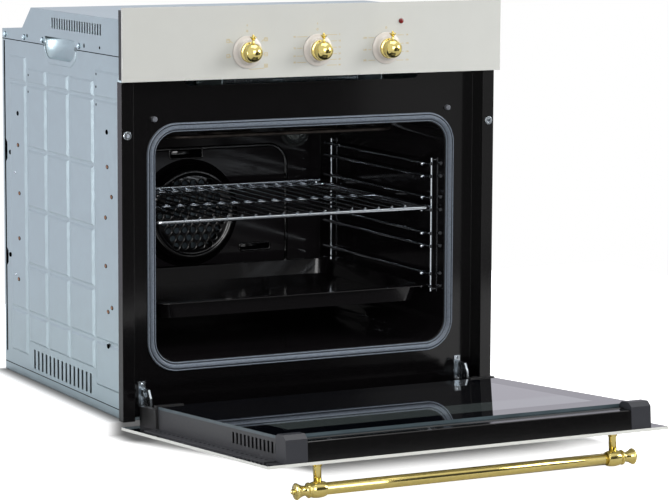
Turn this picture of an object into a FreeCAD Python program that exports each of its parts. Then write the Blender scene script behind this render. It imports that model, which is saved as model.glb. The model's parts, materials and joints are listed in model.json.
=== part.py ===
import FreeCAD, Part
import math
import os
import re
import Sketcher

# Built-in electric oven, 60 cm wide, shown with its door dropped open.
# X runs to the right, Y to the rear, Z up, in mm; the origin is the centre of the base tray's underside.

V = FreeCAD.Vector
doc = FreeCAD.newDocument("BuiltInOven")
sheet = doc.addObject("Spreadsheet::Sheet", "Sizes")

SIZES = (
    # Case
    ("front_width", 595, "width of the fascia and the outer door glass"),
    ("case_inset", 18.5, "case inside the width of the front, each side"),
    ("case_depth", 472, "depth of the case behind the front frame"),
    ("skin", 1.2, "sheet thickness of case and cavity"),
    ("tray_height", 13, "height of the base tray's edge"),
    ("panel_top", 511, "seam between side panel and top housing"),
    ("housing_height", 52, "height of the control housing above the seam"),
    ("slant_start", 121.5, "front end of the housing's slant from the rear"),
    ("slant_end", 84.5, "rear end of the housing's slant from the rear"),
    ("deck_front_rise", 20, "front of the low rear deck above the seam"),
    ("deck_rear_rise", 15, "rear of the low rear deck above the seam"),
    ("tongue_rise", 12, "part of the side panel that stands behind the housing"),
    ("pad_rise", 1.8, "height of the pressed pads on the side panels"),
    ("pad_slope", 7, "width of a pad's upright sloped edges"),
    ("band_slope", 3, "width of a pad's level sloped edges"),
    ("pad_gap", 4, "flat strip between two pads"),
    ("grip_front", -59, "front end of the hand recess"),
    ("grip_rear", 58, "rear end of the hand recess"),
    ("grip_below", 19, "hand recess below the seam"),
    ("grip_above", 13, "hand recess above the seam"),
    ("grip_depth", 24, "depth of the hand recess"),
    ("grip_round", 22, "lower corner radius of the hand recess"),
    ("foot_slot_front", -114.5, "first low vent slot of the side panel"),
    ("foot_slot_pitch", 15.9, "pitch of the low vent slots"),
    ("top_slot_front", -158.1, "first vent slot of the top housing"),
    ("top_slot_pitch", 9.7, "pitch of the housing's vent slots"),
    ("slot_width", 5.2, "width of a vent slot"),
    ("screw_rise", 6.5, "case screws above the seam"),
    ("screw_radius", 1.7, "shank radius of a case screw"),
    ("head_radius", 3.6, "head radius of a case screw"),
    # Front frame
    ("frame_sheet", 1.5, "sheet thickness of the front frame"),
    ("face_setback", 42.5, "frame face behind the front of the fascia"),
    ("flange_setback", 12, "frame flange behind the front of the fascia"),
    ("flange_inset", 3.1, "flanges inside the width of the front"),
    ("wall_inset", 2.6, "flange walls inside the width of the case"),
    ("frame_foot", 5, "bottom of the frame"),
    ("front_gap", 1, "gap between the flanges and the fascia"),
    ("flange_return", 15, "depth of the flange's folded edge"),
    ("bush_inset", 8.4, "cabinet bushes inside the flanges' edges"),
    ("bush_height", 405.6, "height of the cabinet bushes"),
    ("bush_bore", 2.5, "bore radius of a cabinet bush"),
    ("bush_radius", 4, "sleeve radius of a cabinet bush"),
    ("bumper_out", 2.3, "door bumpers outside the mouth"),
    ("bumper_rise", 6.3, "door bumpers above the seal"),
    ("air_inset", 91.7, "cooling-air slot inside the flange walls"),
    ("air_height", 11, "height of the cooling-air slot"),
    ("seal_margin", 13.5, "seal's edge outside the mouth"),
    ("seal_round", 45, "corner radius of the seal"),
    ("seal_width", 12.7, "width of the seal's strip"),
    ("seal_proud", 6, "seal stands in front of the frame"),
    # Cavity
    ("wall_space", 48, "space between the cavity and the side panels"),
    ("mouth_foot", 79.5, "cavity floor"),
    ("ceiling_drop", 106.5, "cavity ceiling below the seam"),
    ("mouth_round", 33, "corner radius of the cavity"),
    ("rear_space", 66, "space behind the cavity"),
    ("fan_rise", 155.5, "fan's axis above the cavity floor"),
    ("cover_radius", 82, "rim radius of the fan cover"),
    ("cover_depth", 20, "depth of the fan cover"),
    ("hole_pitch", 14, "pitch of the fan cover's holes"),
    ("hole_radius", 4.7, "radius of the fan cover's holes"),
    ("shaft_radius", 4, "radius of the fan shafts"),
    ("fan_radius", 56, "radius of the convection impeller"),
    ("running_gap", 0.05, "radial running clearance of turning shafts"),
    ("lamp_inset", 46, "oven lamp from the cavity's side"),
    ("lamp_drop", 47.5, "oven lamp below the ceiling"),
    ("tube_radius", 3.2, "radius of the heating tubes"),
    ("grill_drop", 13.5, "grill element below the ceiling"),
    ("wrap_width", 14, "thickness of the insulation"),
    # Racks, shelf and tray
    ("rack_inset", 8, "rungs inside the cavity's side"),
    ("rack_wire", 2.5, "radius of the rack wire"),
    ("rack_setback", 31, "front upright of the racks behind the mouth"),
    ("rack_stop", 47, "rear upright of the racks in front of the rear wall"),
    ("rung_gap", 19, "upper rung above the lower rung of a level"),
    ("rise_one", 76.5, "lower rung of the lowest level above the cavity floor"),
    ("rise_two", 136.5, "lower rung of the second level above the cavity floor"),
    ("rise_three", 190.5, "lower rung of the third level above the cavity floor"),
    ("rise_four", 240.5, "lower rung of the highest level above the cavity floor"),
    ("slide_gap", 0.3, "play between a rung and what slides on it"),
    ("shelf_inset", 3.5, "shelf's side bars inside the rungs"),
    ("shelf_setback", 22, "front bar of the shelf behind the mouth"),
    ("shelf_stop", 40, "rear bar of the shelf in front of the rear wall"),
    ("shelf_bar", 3, "radius of the shelf's frame bars"),
    ("shelf_corner", 8, "corner radius of the shelf's frame"),
    ("shelf_wire", 1.7, "radius of the shelf's wires"),
    ("shelf_pitch", 22, "pitch of the shelf's wires"),
    ("pan_inset", 0.5, "tray's rim inside the middles of the rungs"),
    ("pan_setback", 14, "front of the tray's rim behind the mouth"),
    ("pan_stop", 48, "rear of the tray's rim in front of the rear wall"),
    ("pan_depth", 24, "depth of the tray"),
    ("pan_rim", 13, "width of the tray's rim"),
    ("pan_skin", 1.2, "sheet thickness of the tray"),
    # Fascia and controls
    ("fascia_drop", 31, "bottom of the fascia glass below the seam"),
    ("fascia_height", 102, "height of the fascia glass"),
    ("pane", 4, "thickness of the panes"),
    ("carrier_inset", 2.5, "fascia carrier inside the width of the front"),
    ("carrier_depth", 16, "depth of the fascia carrier"),
    ("carrier_wall", 3, "wall thickness of the fascia carrier"),
    ("knob_pitch", 109.5, "distance between two knobs"),
    ("knob_rise", 37, "knobs' axes above the bottom of the fascia"),
    ("skirt_radius", 22.8, "radius of a knob's skirt"),
    ("skirt_height", 8, "height of a knob's skirt"),
    ("skirt_gap", 0.6, "play between skirt and fascia"),
    ("grip_radius", 14, "radius of a knob's ball"),
    ("grip_reach", 20, "centre of the ball in front of the fascia"),
    ("ring_radius", 15.2, "radius of the ring behind the ball"),
    ("ring_width", 4, "width of the ring behind the ball"),
    ("spindle_radius", 3, "radius of a knob's spindle"),
    ("pilot_x", 133.3, "pilot lamp from the centre"),
    ("pilot_rise", 75, "pilot lamp above the bottom of the fascia"),
    ("pilot_radius", 3.7, "radius of the pilot lamp"),
    # Cooling blower
    ("blower_half", 120, "half length of the blower's rotor"),
    ("blower_radius", 24, "radius of the blower's rotor"),
    ("blower_setback", 86, "blower's axis behind the front of the case"),
    ("gland_inset", 69, "cable gland from the case's side"),
    ("gland_drop", 41, "cable gland below the seam"),
    # Door, measured along it from its hinge edge and through it from its outer face
    ("door_tilt", 4.24, "open door's angle above level"),
    ("door_gap", 8, "end of the closed door below the fascia, over the length of the outer glass"),
    ("hinge_edge", 0.8, "hinge pin inside the glass's edge"),
    ("hinge_depth", 10.6, "hinge pin behind the outer face"),
    ("hinge_height", 5.3, "height of the hinge pins"),
    ("hinge_inset", 22.7, "hinge arms inside the flange walls"),
    ("arm_height", 36, "middle of the hinge arms' slots"),
    ("arm_skin", 3, "thickness of a hinge arm"),
    ("pin_radius", 3, "radius of a hinge pin"),
    ("eye_radius", 5, "radius of a hinge arm's eye"),
    ("channel_half", 6, "half width of a hinge channel"),
    ("channel_end", 250, "far end of the hinge channels"),
    ("glass_margin", 31.9, "inner glass inside the width of the front"),
    ("glass_near", 57, "hinge end of the inner glass"),
    ("glass_inset", 32, "top end of the inner glass from the end of the outer glass"),
    ("glass_face", 36, "inner face of the inner glass behind the outer face"),
    ("wall_gap", 0.4, "door's side channels outside the inner glass"),
    ("flange_step", 9.5, "side channels' flange inside the width of the front"),
    ("rail_inset", 26, "door's top rail inside the side channels"),
    ("cap_out", 5, "door's corner caps outside the side channels"),
    ("handle_inset", 18, "handle's axis from the end of the outer glass"),
    ("handle_stand", 34.3, "handle's axis in front of the outer face"),
    ("handle_radius", 8, "radius of the handle bar"),
    ("post_inset", 46, "handle posts inside the side channels"),
    ("post_radius", 5.25, "radius of a handle post"),
    ("collar_radius", 11, "radius of the ball collars"),
    ("rod_tip", 48, "near end of the hinge rods at rest"),
    ("rod_length", 150, "length of the hinge rods"),
)
NAMES = {alias for alias, value, meaning in SIZES}
# Places and sizes that follow from the table
TIED = {
    "case_width": "front_width - 2 * case_inset",
    "housing_top": "panel_top + housing_height",
    "slant_front": "case_depth / 2 - slant_start",
    "slant_rear": "case_depth / 2 - slant_end",
    "deck_front": "panel_top + deck_front_rise",
    "deck_rear": "panel_top + deck_rear_rise",
    "grip_foot": "panel_top - grip_below",
    "grip_crown": "panel_top + grip_above",
    "screw_height": "panel_top + screw_rise",
    "frame_half": "front_width / 2 - flange_inset",
    "frame_inner": "case_width / 2 - wall_inset",
    "bush_x": "frame_half - bush_inset",
    "bumper_x": "mouth_half + bumper_out",
    "bumper_height": "seal_crown + bumper_rise",
    "air_half": "frame_inner - air_inset",
    "air_foot": "fascia_foot - air_height",
    "air_crown": "fascia_foot",
    "flange_top": "fascia_foot - front_gap",
    "mouth_half": "case_width / 2 - wall_space",
    "mouth_crown": "panel_top - ceiling_drop",
    "seal_half": "mouth_half + seal_margin",
    "seal_foot": "mouth_foot - seal_margin",
    "seal_crown": "mouth_crown + seal_margin",
    "cavity_back": "case_depth / 2 - rear_space",
    "fan_height": "mouth_foot + fan_rise",
    "lamp_x": "mouth_half - lamp_inset",
    "lamp_height": "mouth_crown - lamp_drop",
    "grill_height": "mouth_crown - grill_drop",
    "rack_x": "mouth_half - rack_inset",
    "rack_front": "rack_setback - case_depth / 2",
    "rack_rear": "cavity_back - rack_stop",
    "level_one": "mouth_foot + rise_one",
    "level_two": "mouth_foot + rise_two",
    "level_three": "mouth_foot + rise_three",
    "level_four": "mouth_foot + rise_four",
    "shelf_half": "rack_x - shelf_inset",
    "shelf_front": "shelf_setback - case_depth / 2",
    "shelf_rear": "cavity_back - shelf_stop",
    "pan_half": "rack_x - pan_inset",
    "pan_front": "pan_setback - case_depth / 2",
    "pan_rear": "cavity_back - pan_stop",
    "fascia_foot": "panel_top - fascia_drop",
    "fascia_crown": "fascia_foot + fascia_height",
    "carrier_half": "front_width / 2 - carrier_inset",
    "knob_height": "fascia_foot + knob_rise",
    "pilot_height": "fascia_foot + pilot_rise",
    "blower_y": "blower_setback - case_depth / 2",
    "gland_x": "case_width / 2 - gland_inset",
    "gland_height": "panel_top - gland_drop",
    "door_length": "fascia_foot - door_gap",
    "hinge_x": "frame_inner - hinge_inset",
    "glass_half": "front_width / 2 - glass_margin",
    "glass_far": "door_length - glass_inset",
    "side_wall": "glass_half + wall_gap",
    "side_flange": "front_width / 2 - flange_step",
    "rail_half": "side_wall - rail_inset",
    "cap_half": "side_wall + cap_out",
    "handle_along": "door_length - handle_inset",
    "post_x": "side_wall - post_inset",
}
for row, (alias, value, meaning) in enumerate(SIZES, 1):
    sheet.set(f"A{row}", meaning)
    sheet.set(f"B{row}", str(value))
    sheet.setAlias(f"B{row}", alias)
doc.recompute()

HALF = "(case_width / 2)"
DEEP = "(case_depth / 2)"
INNER = f"({HALF} - skin)"
FACE = f"(-{DEEP} - frame_sheet)"
FRONT = f"({FACE} - face_setback)"
FLANGE = f"({FRONT} + flange_setback)"
PIVOT = f"({FRONT} + hinge_depth)"
TURN = {
    "x": FreeCAD.Rotation(V(0, 1, 0), 90),
    "y": FreeCAD.Rotation(V(1, 0, 0), -90),
    "-y": FreeCAD.Rotation(V(1, 0, 0), 90),
    "z": FreeCAD.Rotation(),
    "-z": FreeCAD.Rotation(V(1, 0, 0), 180),
}
PARTS = {}


def formula(text):
    """A formula in which every word is one of the sheet's sizes or follows from them."""
    def word(found):
        if found[0] in TIED:
            return f"({formula(TIED[found[0]])})"
        return f"Sizes.{found[0]}" if found[0] in NAMES else found[0]
    return re.sub(r"[a-z][a-z_]*", word, str(text))


def bind(item, rules):
    """Ties each named property to a formula of the sizes."""
    for path, text in rules.items():
        item.setExpression(path, formula(text))


def put(item, place, turn="z"):
    """Turns an item to an axis and ties its place to formulas."""
    item.Placement = FreeCAD.Placement(V(), TURN[turn])
    bind(item, {f"Placement.Base.{axis}": text for axis, text in zip("xyz", place)})
    return item


def box(name, x, y, z):
    """A block between a low and a high value on each axis."""
    item = doc.addObject("Part::Box", name)
    for side, (low, high) in zip(("Length", "Width", "Height"), (x, y, z)):
        bind(item, {side: f"({high}) - ({low})"})
    return put(item, (x[0], y[0], z[0]))


def rod(name, axis, start, length, radius):
    """A round bar from a start point along an axis."""
    item = doc.addObject("Part::Cylinder", name)
    bind(item, {"Radius": radius, "Height": length})
    return put(item, start, axis)


def cone(name, axis, start, length, low, high):
    """A round bar whose radius changes along an axis."""
    item = doc.addObject("Part::Cone", name)
    bind(item, {"Radius1": low, "Radius2": high, "Height": length})
    return put(item, start, axis)


def ball(name, centre, radius):
    """A sphere."""
    item = doc.addObject("Part::Sphere", name)
    bind(item, {"Radius": radius})
    return put(item, centre)


def bend(name, centre, ring, radius, start, sweep):
    """Part of a level ring of round wire, from a start angle."""
    item = doc.addObject("Part::Torus", name)
    bind(item, {"Radius1": ring, "Radius2": radius, "Angle3": sweep})
    item.Placement = FreeCAD.Placement(V(), FreeCAD.Rotation(V(0, 0, 1), start))
    bind(item, {f"Placement.Base.{axis}": text for axis, text in zip("xyz", centre)})
    return item


def spoke(name, axis, centre, angle, reach, span, width):
    """A flat blade that points away from an axis."""
    item = doc.addObject("Part::Box", name)
    inner, outer = (f"({text})" for text in reach)
    low, high = span
    c = f"({math.cos(math.radians(angle)):.6f})"
    s = f"({math.sin(math.radians(angle)):.6f})"
    x, y, z = centre
    if axis == "y":
        bind(item, {"Length": f"{outer} - {inner}", "Width": f"({high}) - ({low})", "Height": width})
        item.Placement = FreeCAD.Placement(V(), FreeCAD.Rotation(V(0, 1, 0), -angle))
        place = (f"{x} + {c} * {inner} + {s} * {width} / 2", low, f"{z} + {s} * {inner} - {c} * {width} / 2")
    else:
        bind(item, {"Length": f"({high}) - ({low})", "Width": f"{outer} - {inner}", "Height": width})
        item.Placement = FreeCAD.Placement(V(), FreeCAD.Rotation(V(1, 0, 0), angle))
        place = (low, f"{y} + {c} * {inner} + {s} * {width} / 2", f"{z} + {s} * {inner} - {c} * {width} / 2")
    bind(item, {f"Placement.Base.{a}": text for a, text in zip("xyz", place)})
    return item


def outline(body, role, points):
    """A closed outline in one of a body's main planes, each corner tied to formulas."""
    sketch = body.newObject("Sketcher::SketchObject", body.Name + "Outline")
    sketch.AttachmentSupport = [(next(f for f in body.Origin.OriginFeatures if f.Role == role), "")]
    sketch.MapMode = "FlatFace"
    count = len(points)
    ring = [2 * math.pi * i / count for i in range(count)]
    ring = [V(100 * math.cos(a), 100 * math.sin(a), 0) for a in ring]
    for i in range(count):
        sketch.addGeometry(Part.LineSegment(ring[i], ring[(i + 1) % count]), False)
    for i in range(count):
        sketch.addConstraint(Sketcher.Constraint("Coincident", i, 2, (i + 1) % count, 1))
    for i, corner in enumerate(points):
        for kind, text, axis in zip(("DistanceX", "DistanceY"), corner, (-2, -1)):
            if str(text) == "0":
                sketch.addConstraint(Sketcher.Constraint("PointOnObject", i, 1, axis))
            else:
                number = sketch.addConstraint(Sketcher.Constraint(kind, -1, 1, i, 1, 1.0))
                bind(sketch, {f"Constraints[{number}]": text})
    return sketch


def prism(name, role, points, start, length):
    """An outline drawn out along X (YZ_Plane), Y (XZ_Plane) or Z (XY_Plane)."""
    body = doc.addObject("PartDesign::Body", name)
    sketch = outline(body, role, points)
    bind(sketch, {"AttachmentOffset.Base.z": f"-({start})" if role == "XZ_Plane" else start})
    pad = body.newObject("PartDesign::Pad", name + "Pad")
    pad.Profile = sketch
    pad.Reversed = role == "XZ_Plane"
    bind(pad, {"Length": length})
    doc.recompute()
    return body


def turned(name, axis, centre, points):
    """A turned solid from (radius, height) corners, its heights along an axis."""
    body = doc.addObject("PartDesign::Body", name)
    sketch = outline(body, "XZ_Plane", points)
    turn = body.newObject("PartDesign::Revolution", name + "Turn")
    turn.Profile = sketch
    turn.ReferenceAxis = (sketch, ["V_Axis"])
    turn.Angle = 360
    doc.recompute()
    return put(body, centre, axis)


def rounded(body, radius, pick):
    """Rounds the edges that are picked."""
    tip = body.Tip
    names = [f"Edge{i}" for i, edge in enumerate(tip.Shape.Edges, 1) if pick(edge)]
    fillet = body.newObject("PartDesign::Fillet", body.Name + "Round")
    fillet.Base = (tip, names)
    bind(fillet, {"Radius": radius})
    doc.recompute()
    return body


def along(axis):
    """Picks the straight edges that run along an axis."""
    return lambda edge: abs(getattr(edge.tangentAt(edge.FirstParameter), axis)) > 0.99


def rect(low, high, foot, crown):
    """Four corners of a rectangle."""
    return [(low, foot), (high, foot), (high, crown), (low, crown)]


def slab(name, half, foot, crown, y, radius):
    """A round-cornered block in the middle of the oven, drawn out along Y."""
    body = prism(name, "XZ_Plane", rect(f"-({half})", half, foot, crown), y[0], f"({y[1]}) - ({y[0]})")
    return rounded(body, radius, along("y"))


def group(name, *items):
    """Several solids in one shape."""
    item = doc.addObject("Part::Compound", name)
    item.Links = list(items)
    return item


def fuse(name, *items):
    """Several touching solids made into one."""
    item = doc.addObject("Part::MultiFuse", name)
    item.Shapes = list(items)
    return item


def cut(name, base, *tools):
    """A solid less its tools, which stay clear of one another."""
    item = doc.addObject("Part::Cut", name)
    item.Base = base
    item.Tool = tools[0] if len(tools) == 1 else group(name + "Tools", *tools)
    return item


def mirrored(item):
    """The same shape on the other side of the oven."""
    copy = doc.addObject("Part::Mirroring", item.Name + "Mirrored")
    copy.Source = item
    copy.Base = V(0, 0, 0)
    copy.Normal = V(1, 0, 0)
    return copy


def pair(name, item):
    """A shape and its mirror image."""
    return group(name, item, mirrored(item))


def piece(label, item):
    """Enters a finished sub-part."""
    item.Label = label
    PARTS[label] = item
    return item


# Case
piece("base_tray", cut(
    "BaseTray",
    box("TrayBlock", (f"-{HALF}", HALF), (f"-{DEEP}", DEEP), ("0", "tray_height")),
    box("TrayHollow", (f"-{INNER}", INNER), (f"-{DEEP} + skin", f"{DEEP} - skin"),
        ("skin", "tray_height + 1")),
))

# Grooves and bands between the pressed pads of a side panel, and the middles of its punched holes
# as shares of the case's half depth and of the panel's height
COLUMNS = [f"({k} * {DEEP})" for k in (-0.983, -0.5585, -0.1534, 0.2174, 0.5661, 0.8814)]
OUTER_ROWS = [f"({k} * panel_top)" for k in (0.0665, 0.1996, 0.8767, 0.9589)]
INNER_ROWS = [f"({k} * panel_top)" for k in (0.1096, 0.1996, 0.3434, 0.5127, 0.6881, 0.8767, 0.9276)]
ROWS = (OUTER_ROWS, INNER_ROWS, INNER_ROWS, INNER_ROWS, OUTER_ROWS)
PUNCHED = [
    (f"{y} * {DEEP}", f"{z} * panel_top")
    for y, z in ((0.716, 0.785), (0.873, 0.663), (-0.769, 0.789), (-0.771, 0.193), (0.892, 0.354))
]
SCREWS = (f"0.949 * {DEEP}", f"0.608 * {DEEP}", "grip_rear + 10.4", "grip_front - 16.3")


def pressed(y, z):
    """A pad with sloped edges on the left side panel."""
    item = doc.addObject("Part::Wedge", "PanelPad")
    item.Placement = FreeCAD.Placement(V(), FreeCAD.Rotation(V(0, 0, 1), 90))
    for axis, (low, high), slant in (("X", y, "pad_slope"), ("Z", z, "band_slope")):
        bind(item, {f"{axis}min": f"{low} + pad_gap / 2", f"{axis}max": f"{high} - pad_gap / 2"})
        bind(item, {f"{axis}2min": f"{low} + pad_gap / 2 + {slant}",
            f"{axis}2max": f"{high} - pad_gap / 2 - {slant}"})
    bind(item, {"Ymin": HALF, "Ymax": f"{HALF} + pad_rise"})
    return item


def low_edges(edge):
    """Picks the lower long edges of the hand recess."""
    return along("x")(edge) and edge.CenterOfMass.z < sheet.get("panel_top") - sheet.get("grip_below") / 2


grip_rect = ("grip_front", "grip_rear", "grip_foot", "grip_crown")
recess = rounded(
    prism("GripHollow", "YZ_Plane", rect(*grip_rect), f"-{HALF} - 1", "grip_depth + 1"),
    "grip_round", low_edges,
)
cup = rounded(
    prism("GripCup", "YZ_Plane", rect("grip_front - skin", "grip_rear + skin", "grip_foot - skin",
        "grip_crown + skin"),
          f"-{INNER}", "grip_depth"),
    "grip_round + skin", low_edges,
)
left_panel = cut(
    "LeftPanel",
    fuse(
        "LeftPanelSheet",
        box("PanelPlate", (f"-{HALF}", f"-{INNER}"), (f"-{DEEP}", DEEP), ("tray_height", "panel_top")),
        box("PanelTongue", (f"-{INNER}", f"-{INNER} + skin"), (f"-{DEEP} + 2", f"{DEEP} - 3 * skin"),
            ("panel_top - 8", "panel_top + tongue_rise")),
        cup,
        *[pressed(y, z) for y, rows in zip(zip(COLUMNS, COLUMNS[1:]), ROWS) for z in zip(rows, rows[1:])],
    ),
    recess,
    *[box("FootSlot", (f"-{HALF} - 3", f"-{INNER} + 1"),
          (f"foot_slot_front + {i} * foot_slot_pitch",
              f"foot_slot_front + {i} * foot_slot_pitch + 1.35 * slot_width"),
          ("tray_height + 6", "tray_height + 35")) for i in range(15)],
    *[rod("PunchedHole", "x", (f"-{HALF} - 3", y, z), "5", "3.4") for y, z in PUNCHED],
    *[rod("TongueHole", "x", (f"-{HALF} - 1", y, "screw_height"), "6", "screw_radius + 0.1") for y in SCREWS],
)
piece("left_side_panel", left_panel)
piece("right_side_panel", mirrored(left_panel))
piece("rear_panel", cut(
    "RearPanel",
    box("RearPlate", (f"-{INNER}", INNER), (f"{DEEP} - skin", DEEP), ("tray_height", "panel_top")),
    *[box("RearSlot", (f"{14 * i} - 3", f"{14 * i} + 3"), (f"{DEEP} - 3", f"{DEEP} + 1"),
          ("fan_height - 50", "fan_height + 50")) for i in range(-5, 6)],
    rod("GlandHole", "y", ("-gland_x", f"{DEEP} - 3", "gland_height"), "5", "10.1"),
))
housing_outer = [
    (f"-{DEEP}", "panel_top"), (f"-{DEEP}", "housing_top"), ("slant_front", "housing_top"),
    ("slant_rear", "deck_front"), (DEEP, "deck_rear"), (DEEP, "panel_top"),
]
housing_inner = [
    (f"-{DEEP} - 1", "panel_top - 1"), (f"-{DEEP} - 1", "housing_top - skin"),
    ("slant_front - skin / 2", "housing_top - skin"), ("slant_rear - skin / 2", "deck_front - skin"),
    (f"{DEEP} - skin", "deck_rear - skin"), (f"{DEEP} - skin", "panel_top - 1"),
]
piece("top_housing", cut(
    "TopHousing",
    cut(
        "HousingShell",
        prism("HousingBlock", "YZ_Plane", housing_outer, f"-{HALF}", "case_width"),
        prism("HousingHollow", "YZ_Plane", housing_inner, f"-{INNER}", "case_width - 2 * skin"),
    ),
    recess,
    mirrored(recess),
    *[box("TopSlot", (f"-{HALF} - 1", f"{HALF} + 1"),
          (f"top_slot_front + {i} * top_slot_pitch", f"top_slot_front + {i} * top_slot_pitch + slot_width"),
          ("housing_top - 26", "housing_top - 10.5")) for i in range(20)],
    *[rod("HousingHole", "x", (f"-{HALF} - 1", y, "screw_height"), "case_width + 2", "screw_radius + 0.1")
      for y in SCREWS],
))
left_screws = [
    fuse(
        "CaseScrew",
        rod("ScrewHead", "x", (f"-{HALF} - 2", y, "screw_height"), "2", "head_radius"),
        rod("ScrewShank", "x", (f"-{HALF}", y, "screw_height"), "8", "screw_radius"),
    )
    for y in SCREWS
]
piece("case_screws", group("CaseScrews", *left_screws, *[mirrored(s) for s in left_screws]))

# Front frame with its bushes, bumpers and seal
ARM_SLOT = ("arm_height - 14", "arm_height + 14")
flange = fuse(
    "RightFlange",
    box("FlangeWall", ("frame_inner", "frame_inner + frame_sheet"), (FLANGE, f"-{DEEP}"),
        ("frame_foot", "flange_top")),
    box("FlangeFace", ("frame_inner", "frame_half"), (FLANGE, f"{FLANGE} + frame_sheet"),
        ("frame_foot", "flange_top")),
    box("FlangeFold", ("frame_half - frame_sheet", "frame_half"), (FLANGE, f"{FLANGE} + flange_return"),
        ("frame_foot", "flange_top")),
)
mouth = slab("Mouth", "mouth_half", "mouth_foot", "mouth_crown", (f"{FACE} - 1", f"-{DEEP} + 1"),
    "mouth_round")
air_slot = prism(
    "AirSlot", "XZ_Plane",
    [("-air_half", "air_foot + 4"), ("-air_half + 6", "air_foot"), ("air_half - 6", "air_foot"),
     ("air_half", "air_foot + 4"), ("air_half", "air_crown"), ("-air_half", "air_crown")],
    f"{FACE} - 1", "frame_sheet + 2",
)
frame_holes = []
for side in ("-", ""):
    frame_holes += [
        rod("BushHole", "y", (f"{side}bush_x", f"{FLANGE} - 1", "bush_height"), "4", "bush_radius + 0.1"),
        rod("BumperHole", "y", (f"{side}bumper_x", f"{FACE} - 1", "bumper_height"), "4", "2.1"),
        box("ArmSlot", (f"{side}hinge_x - arm_skin / 2 - 1", f"{side}hinge_x + arm_skin / 2 + 1"),
            (f"{FACE} - 1", f"-{DEEP} + 1"), ARM_SLOT),
    ]
piece("front_frame", cut(
    "FrontFrame",
    fuse(
        "FrameSheet",
        box("FramePlate", ("-frame_inner", "frame_inner"), (FACE, f"-{DEEP}"), ("frame_foot", "panel_top")),
        flange,
        mirrored(flange),
    ),
    mouth, air_slot, *frame_holes,
))
bush = turned("CabinetBush", "y", ("bush_x", FLANGE, "bush_height"), [
    ("bush_bore", "-2"), ("bush_radius + 1.5", "-2"), ("bush_radius + 2", "-1.2"), ("bush_radius + 2", "0"),
    ("bush_radius", "0"), ("bush_radius", "6"), ("bush_bore", "6"),
])
piece("cabinet_bushes", pair("CabinetBushes", bush))
bumper = turned("DoorBumper", "y", ("bumper_x", FACE, "bumper_height"), [
    ("0", "-seal_proud + 0.2"), ("3", "-seal_proud + 0.2"), ("4", "-seal_proud + 1.2"), ("4", "0"),
        ("2", "0"),
    ("2", "2.6"), ("0", "2.6"),
])
piece("door_bumpers", pair("DoorBumpers", bumper))


def ring(name, inset, width, y):
    """A round-cornered strip that follows the seal's outline."""
    outer = slab(name + "Outer", f"seal_half - {inset}", f"seal_foot + {inset}", f"seal_crown - {inset}", y,
                 f"seal_round - {inset}")
    reach = f"({inset} + {width})"
    inner = slab(name + "Inner", f"seal_half - {reach}", f"seal_foot + {reach}", f"seal_crown - {reach}",
                 (f"{y[0]} - 1", f"{y[1]} + 1"), f"seal_round - {reach}")
    return cut(name, outer, inner)


piece("door_seal", fuse(
    "DoorSeal",
    ring("SealStrip", "0", "seal_width", (f"{FACE} - 2.5", FACE)),
    ring("SealOuterBead", "1.2", "4", (f"{FACE} - seal_proud", f"{FACE} - 2.5")),
    ring("SealInnerBead", "7.2", "4", (f"{FACE} - seal_proud + 0.8", f"{FACE} - 2.5")),
))

# Cavity and what is fixed in it
NEAR = "(0.13 * mouth_half)"
GRILL_ENDS = (f"-{NEAR}", NEAR)
cavity_shell = cut(
    "CavityShell",
    fuse(
        "CavityBlock",
        slab("CavityOuter", "mouth_half + skin", "mouth_foot - skin", "mouth_crown + skin",
             (f"-{DEEP}", "cavity_back + skin"), "mouth_round + skin"),
        slab("CavityFlange", "seal_half", "seal_foot", "seal_crown", (f"-{DEEP}", f"-{DEEP} + skin"),
            "seal_round"),
    ),
    slab("CavityHollow", "mouth_half", "mouth_foot", "mouth_crown", (f"-{DEEP} - 1", "cavity_back"),
        "mouth_round"),
)
REAR = ("cavity_back - 1", "cavity_back + skin + 1")
piece("cavity_box", cut(
    "CavityBox",
    cavity_shell,
    rod("ShaftHole", "y", ("0", REAR[0], "fan_height"), "skin + 2", "shaft_radius + 2"),
    rod("LampHole", "y", ("lamp_x", REAR[0], "lamp_height"), "skin + 2", "14"),
    box("UpperVent", ("-29.5", "23.5"), REAR, ("fan_height + 87", "fan_height + 99")),
    box("LowerVent", ("90", "140"), REAR, ("fan_height - 63", "fan_height - 55")),
    *[rod("TerminalHole", "y", (x, REAR[0], "grill_height"), "skin + 2", "tube_radius + 1")
          for x in GRILL_ENDS],
))
cover_dish = turned("CoverDish", "-y", ("0", "cavity_back", "fan_height"), [
    ("0", "cover_depth - skin"), ("0", "cover_depth"), ("cover_radius - 14", "cover_depth"),
    ("cover_radius - 7", "skin"), ("cover_radius", "skin"), ("cover_radius", "0"),
    ("cover_radius - 7.8", "0"), ("cover_radius - 14.7", "cover_depth - skin"),
])
STEPS = range(-4, 5)
piece("fan_cover", cut(
    "FanCover",
    cover_dish,
    *[rod("CoverHole", "y", (f"{q + r / 2} * hole_pitch", "cavity_back - cover_depth - 1",
                             f"fan_height + {r * 0.866025:.6f} * hole_pitch"), "skin + 2", "hole_radius")
      for q in STEPS for r in STEPS if abs(q + r) <= 4],
))
piece("fan_motor", cut(
    "FanMotor",
    fuse(
        "MotorBlock",
        box("MotorBracket", ("-55", "55"), ("cavity_back + skin", "cavity_back + skin + 3"),
            ("fan_height - 16", "fan_height + 16")),
        box("MotorStator", ("-30", "30"), ("cavity_back + skin + 3", "cavity_back + 34"),
            ("fan_height - 34", "fan_height + 26")),
        rod("MotorCap", "y", ("0", "cavity_back + 34", "fan_height"), "8", "17"),
    ),
    rod("MotorBore", "y", ("0", "cavity_back", "fan_height"), "38", "shaft_radius + running_gap"),
))
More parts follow.
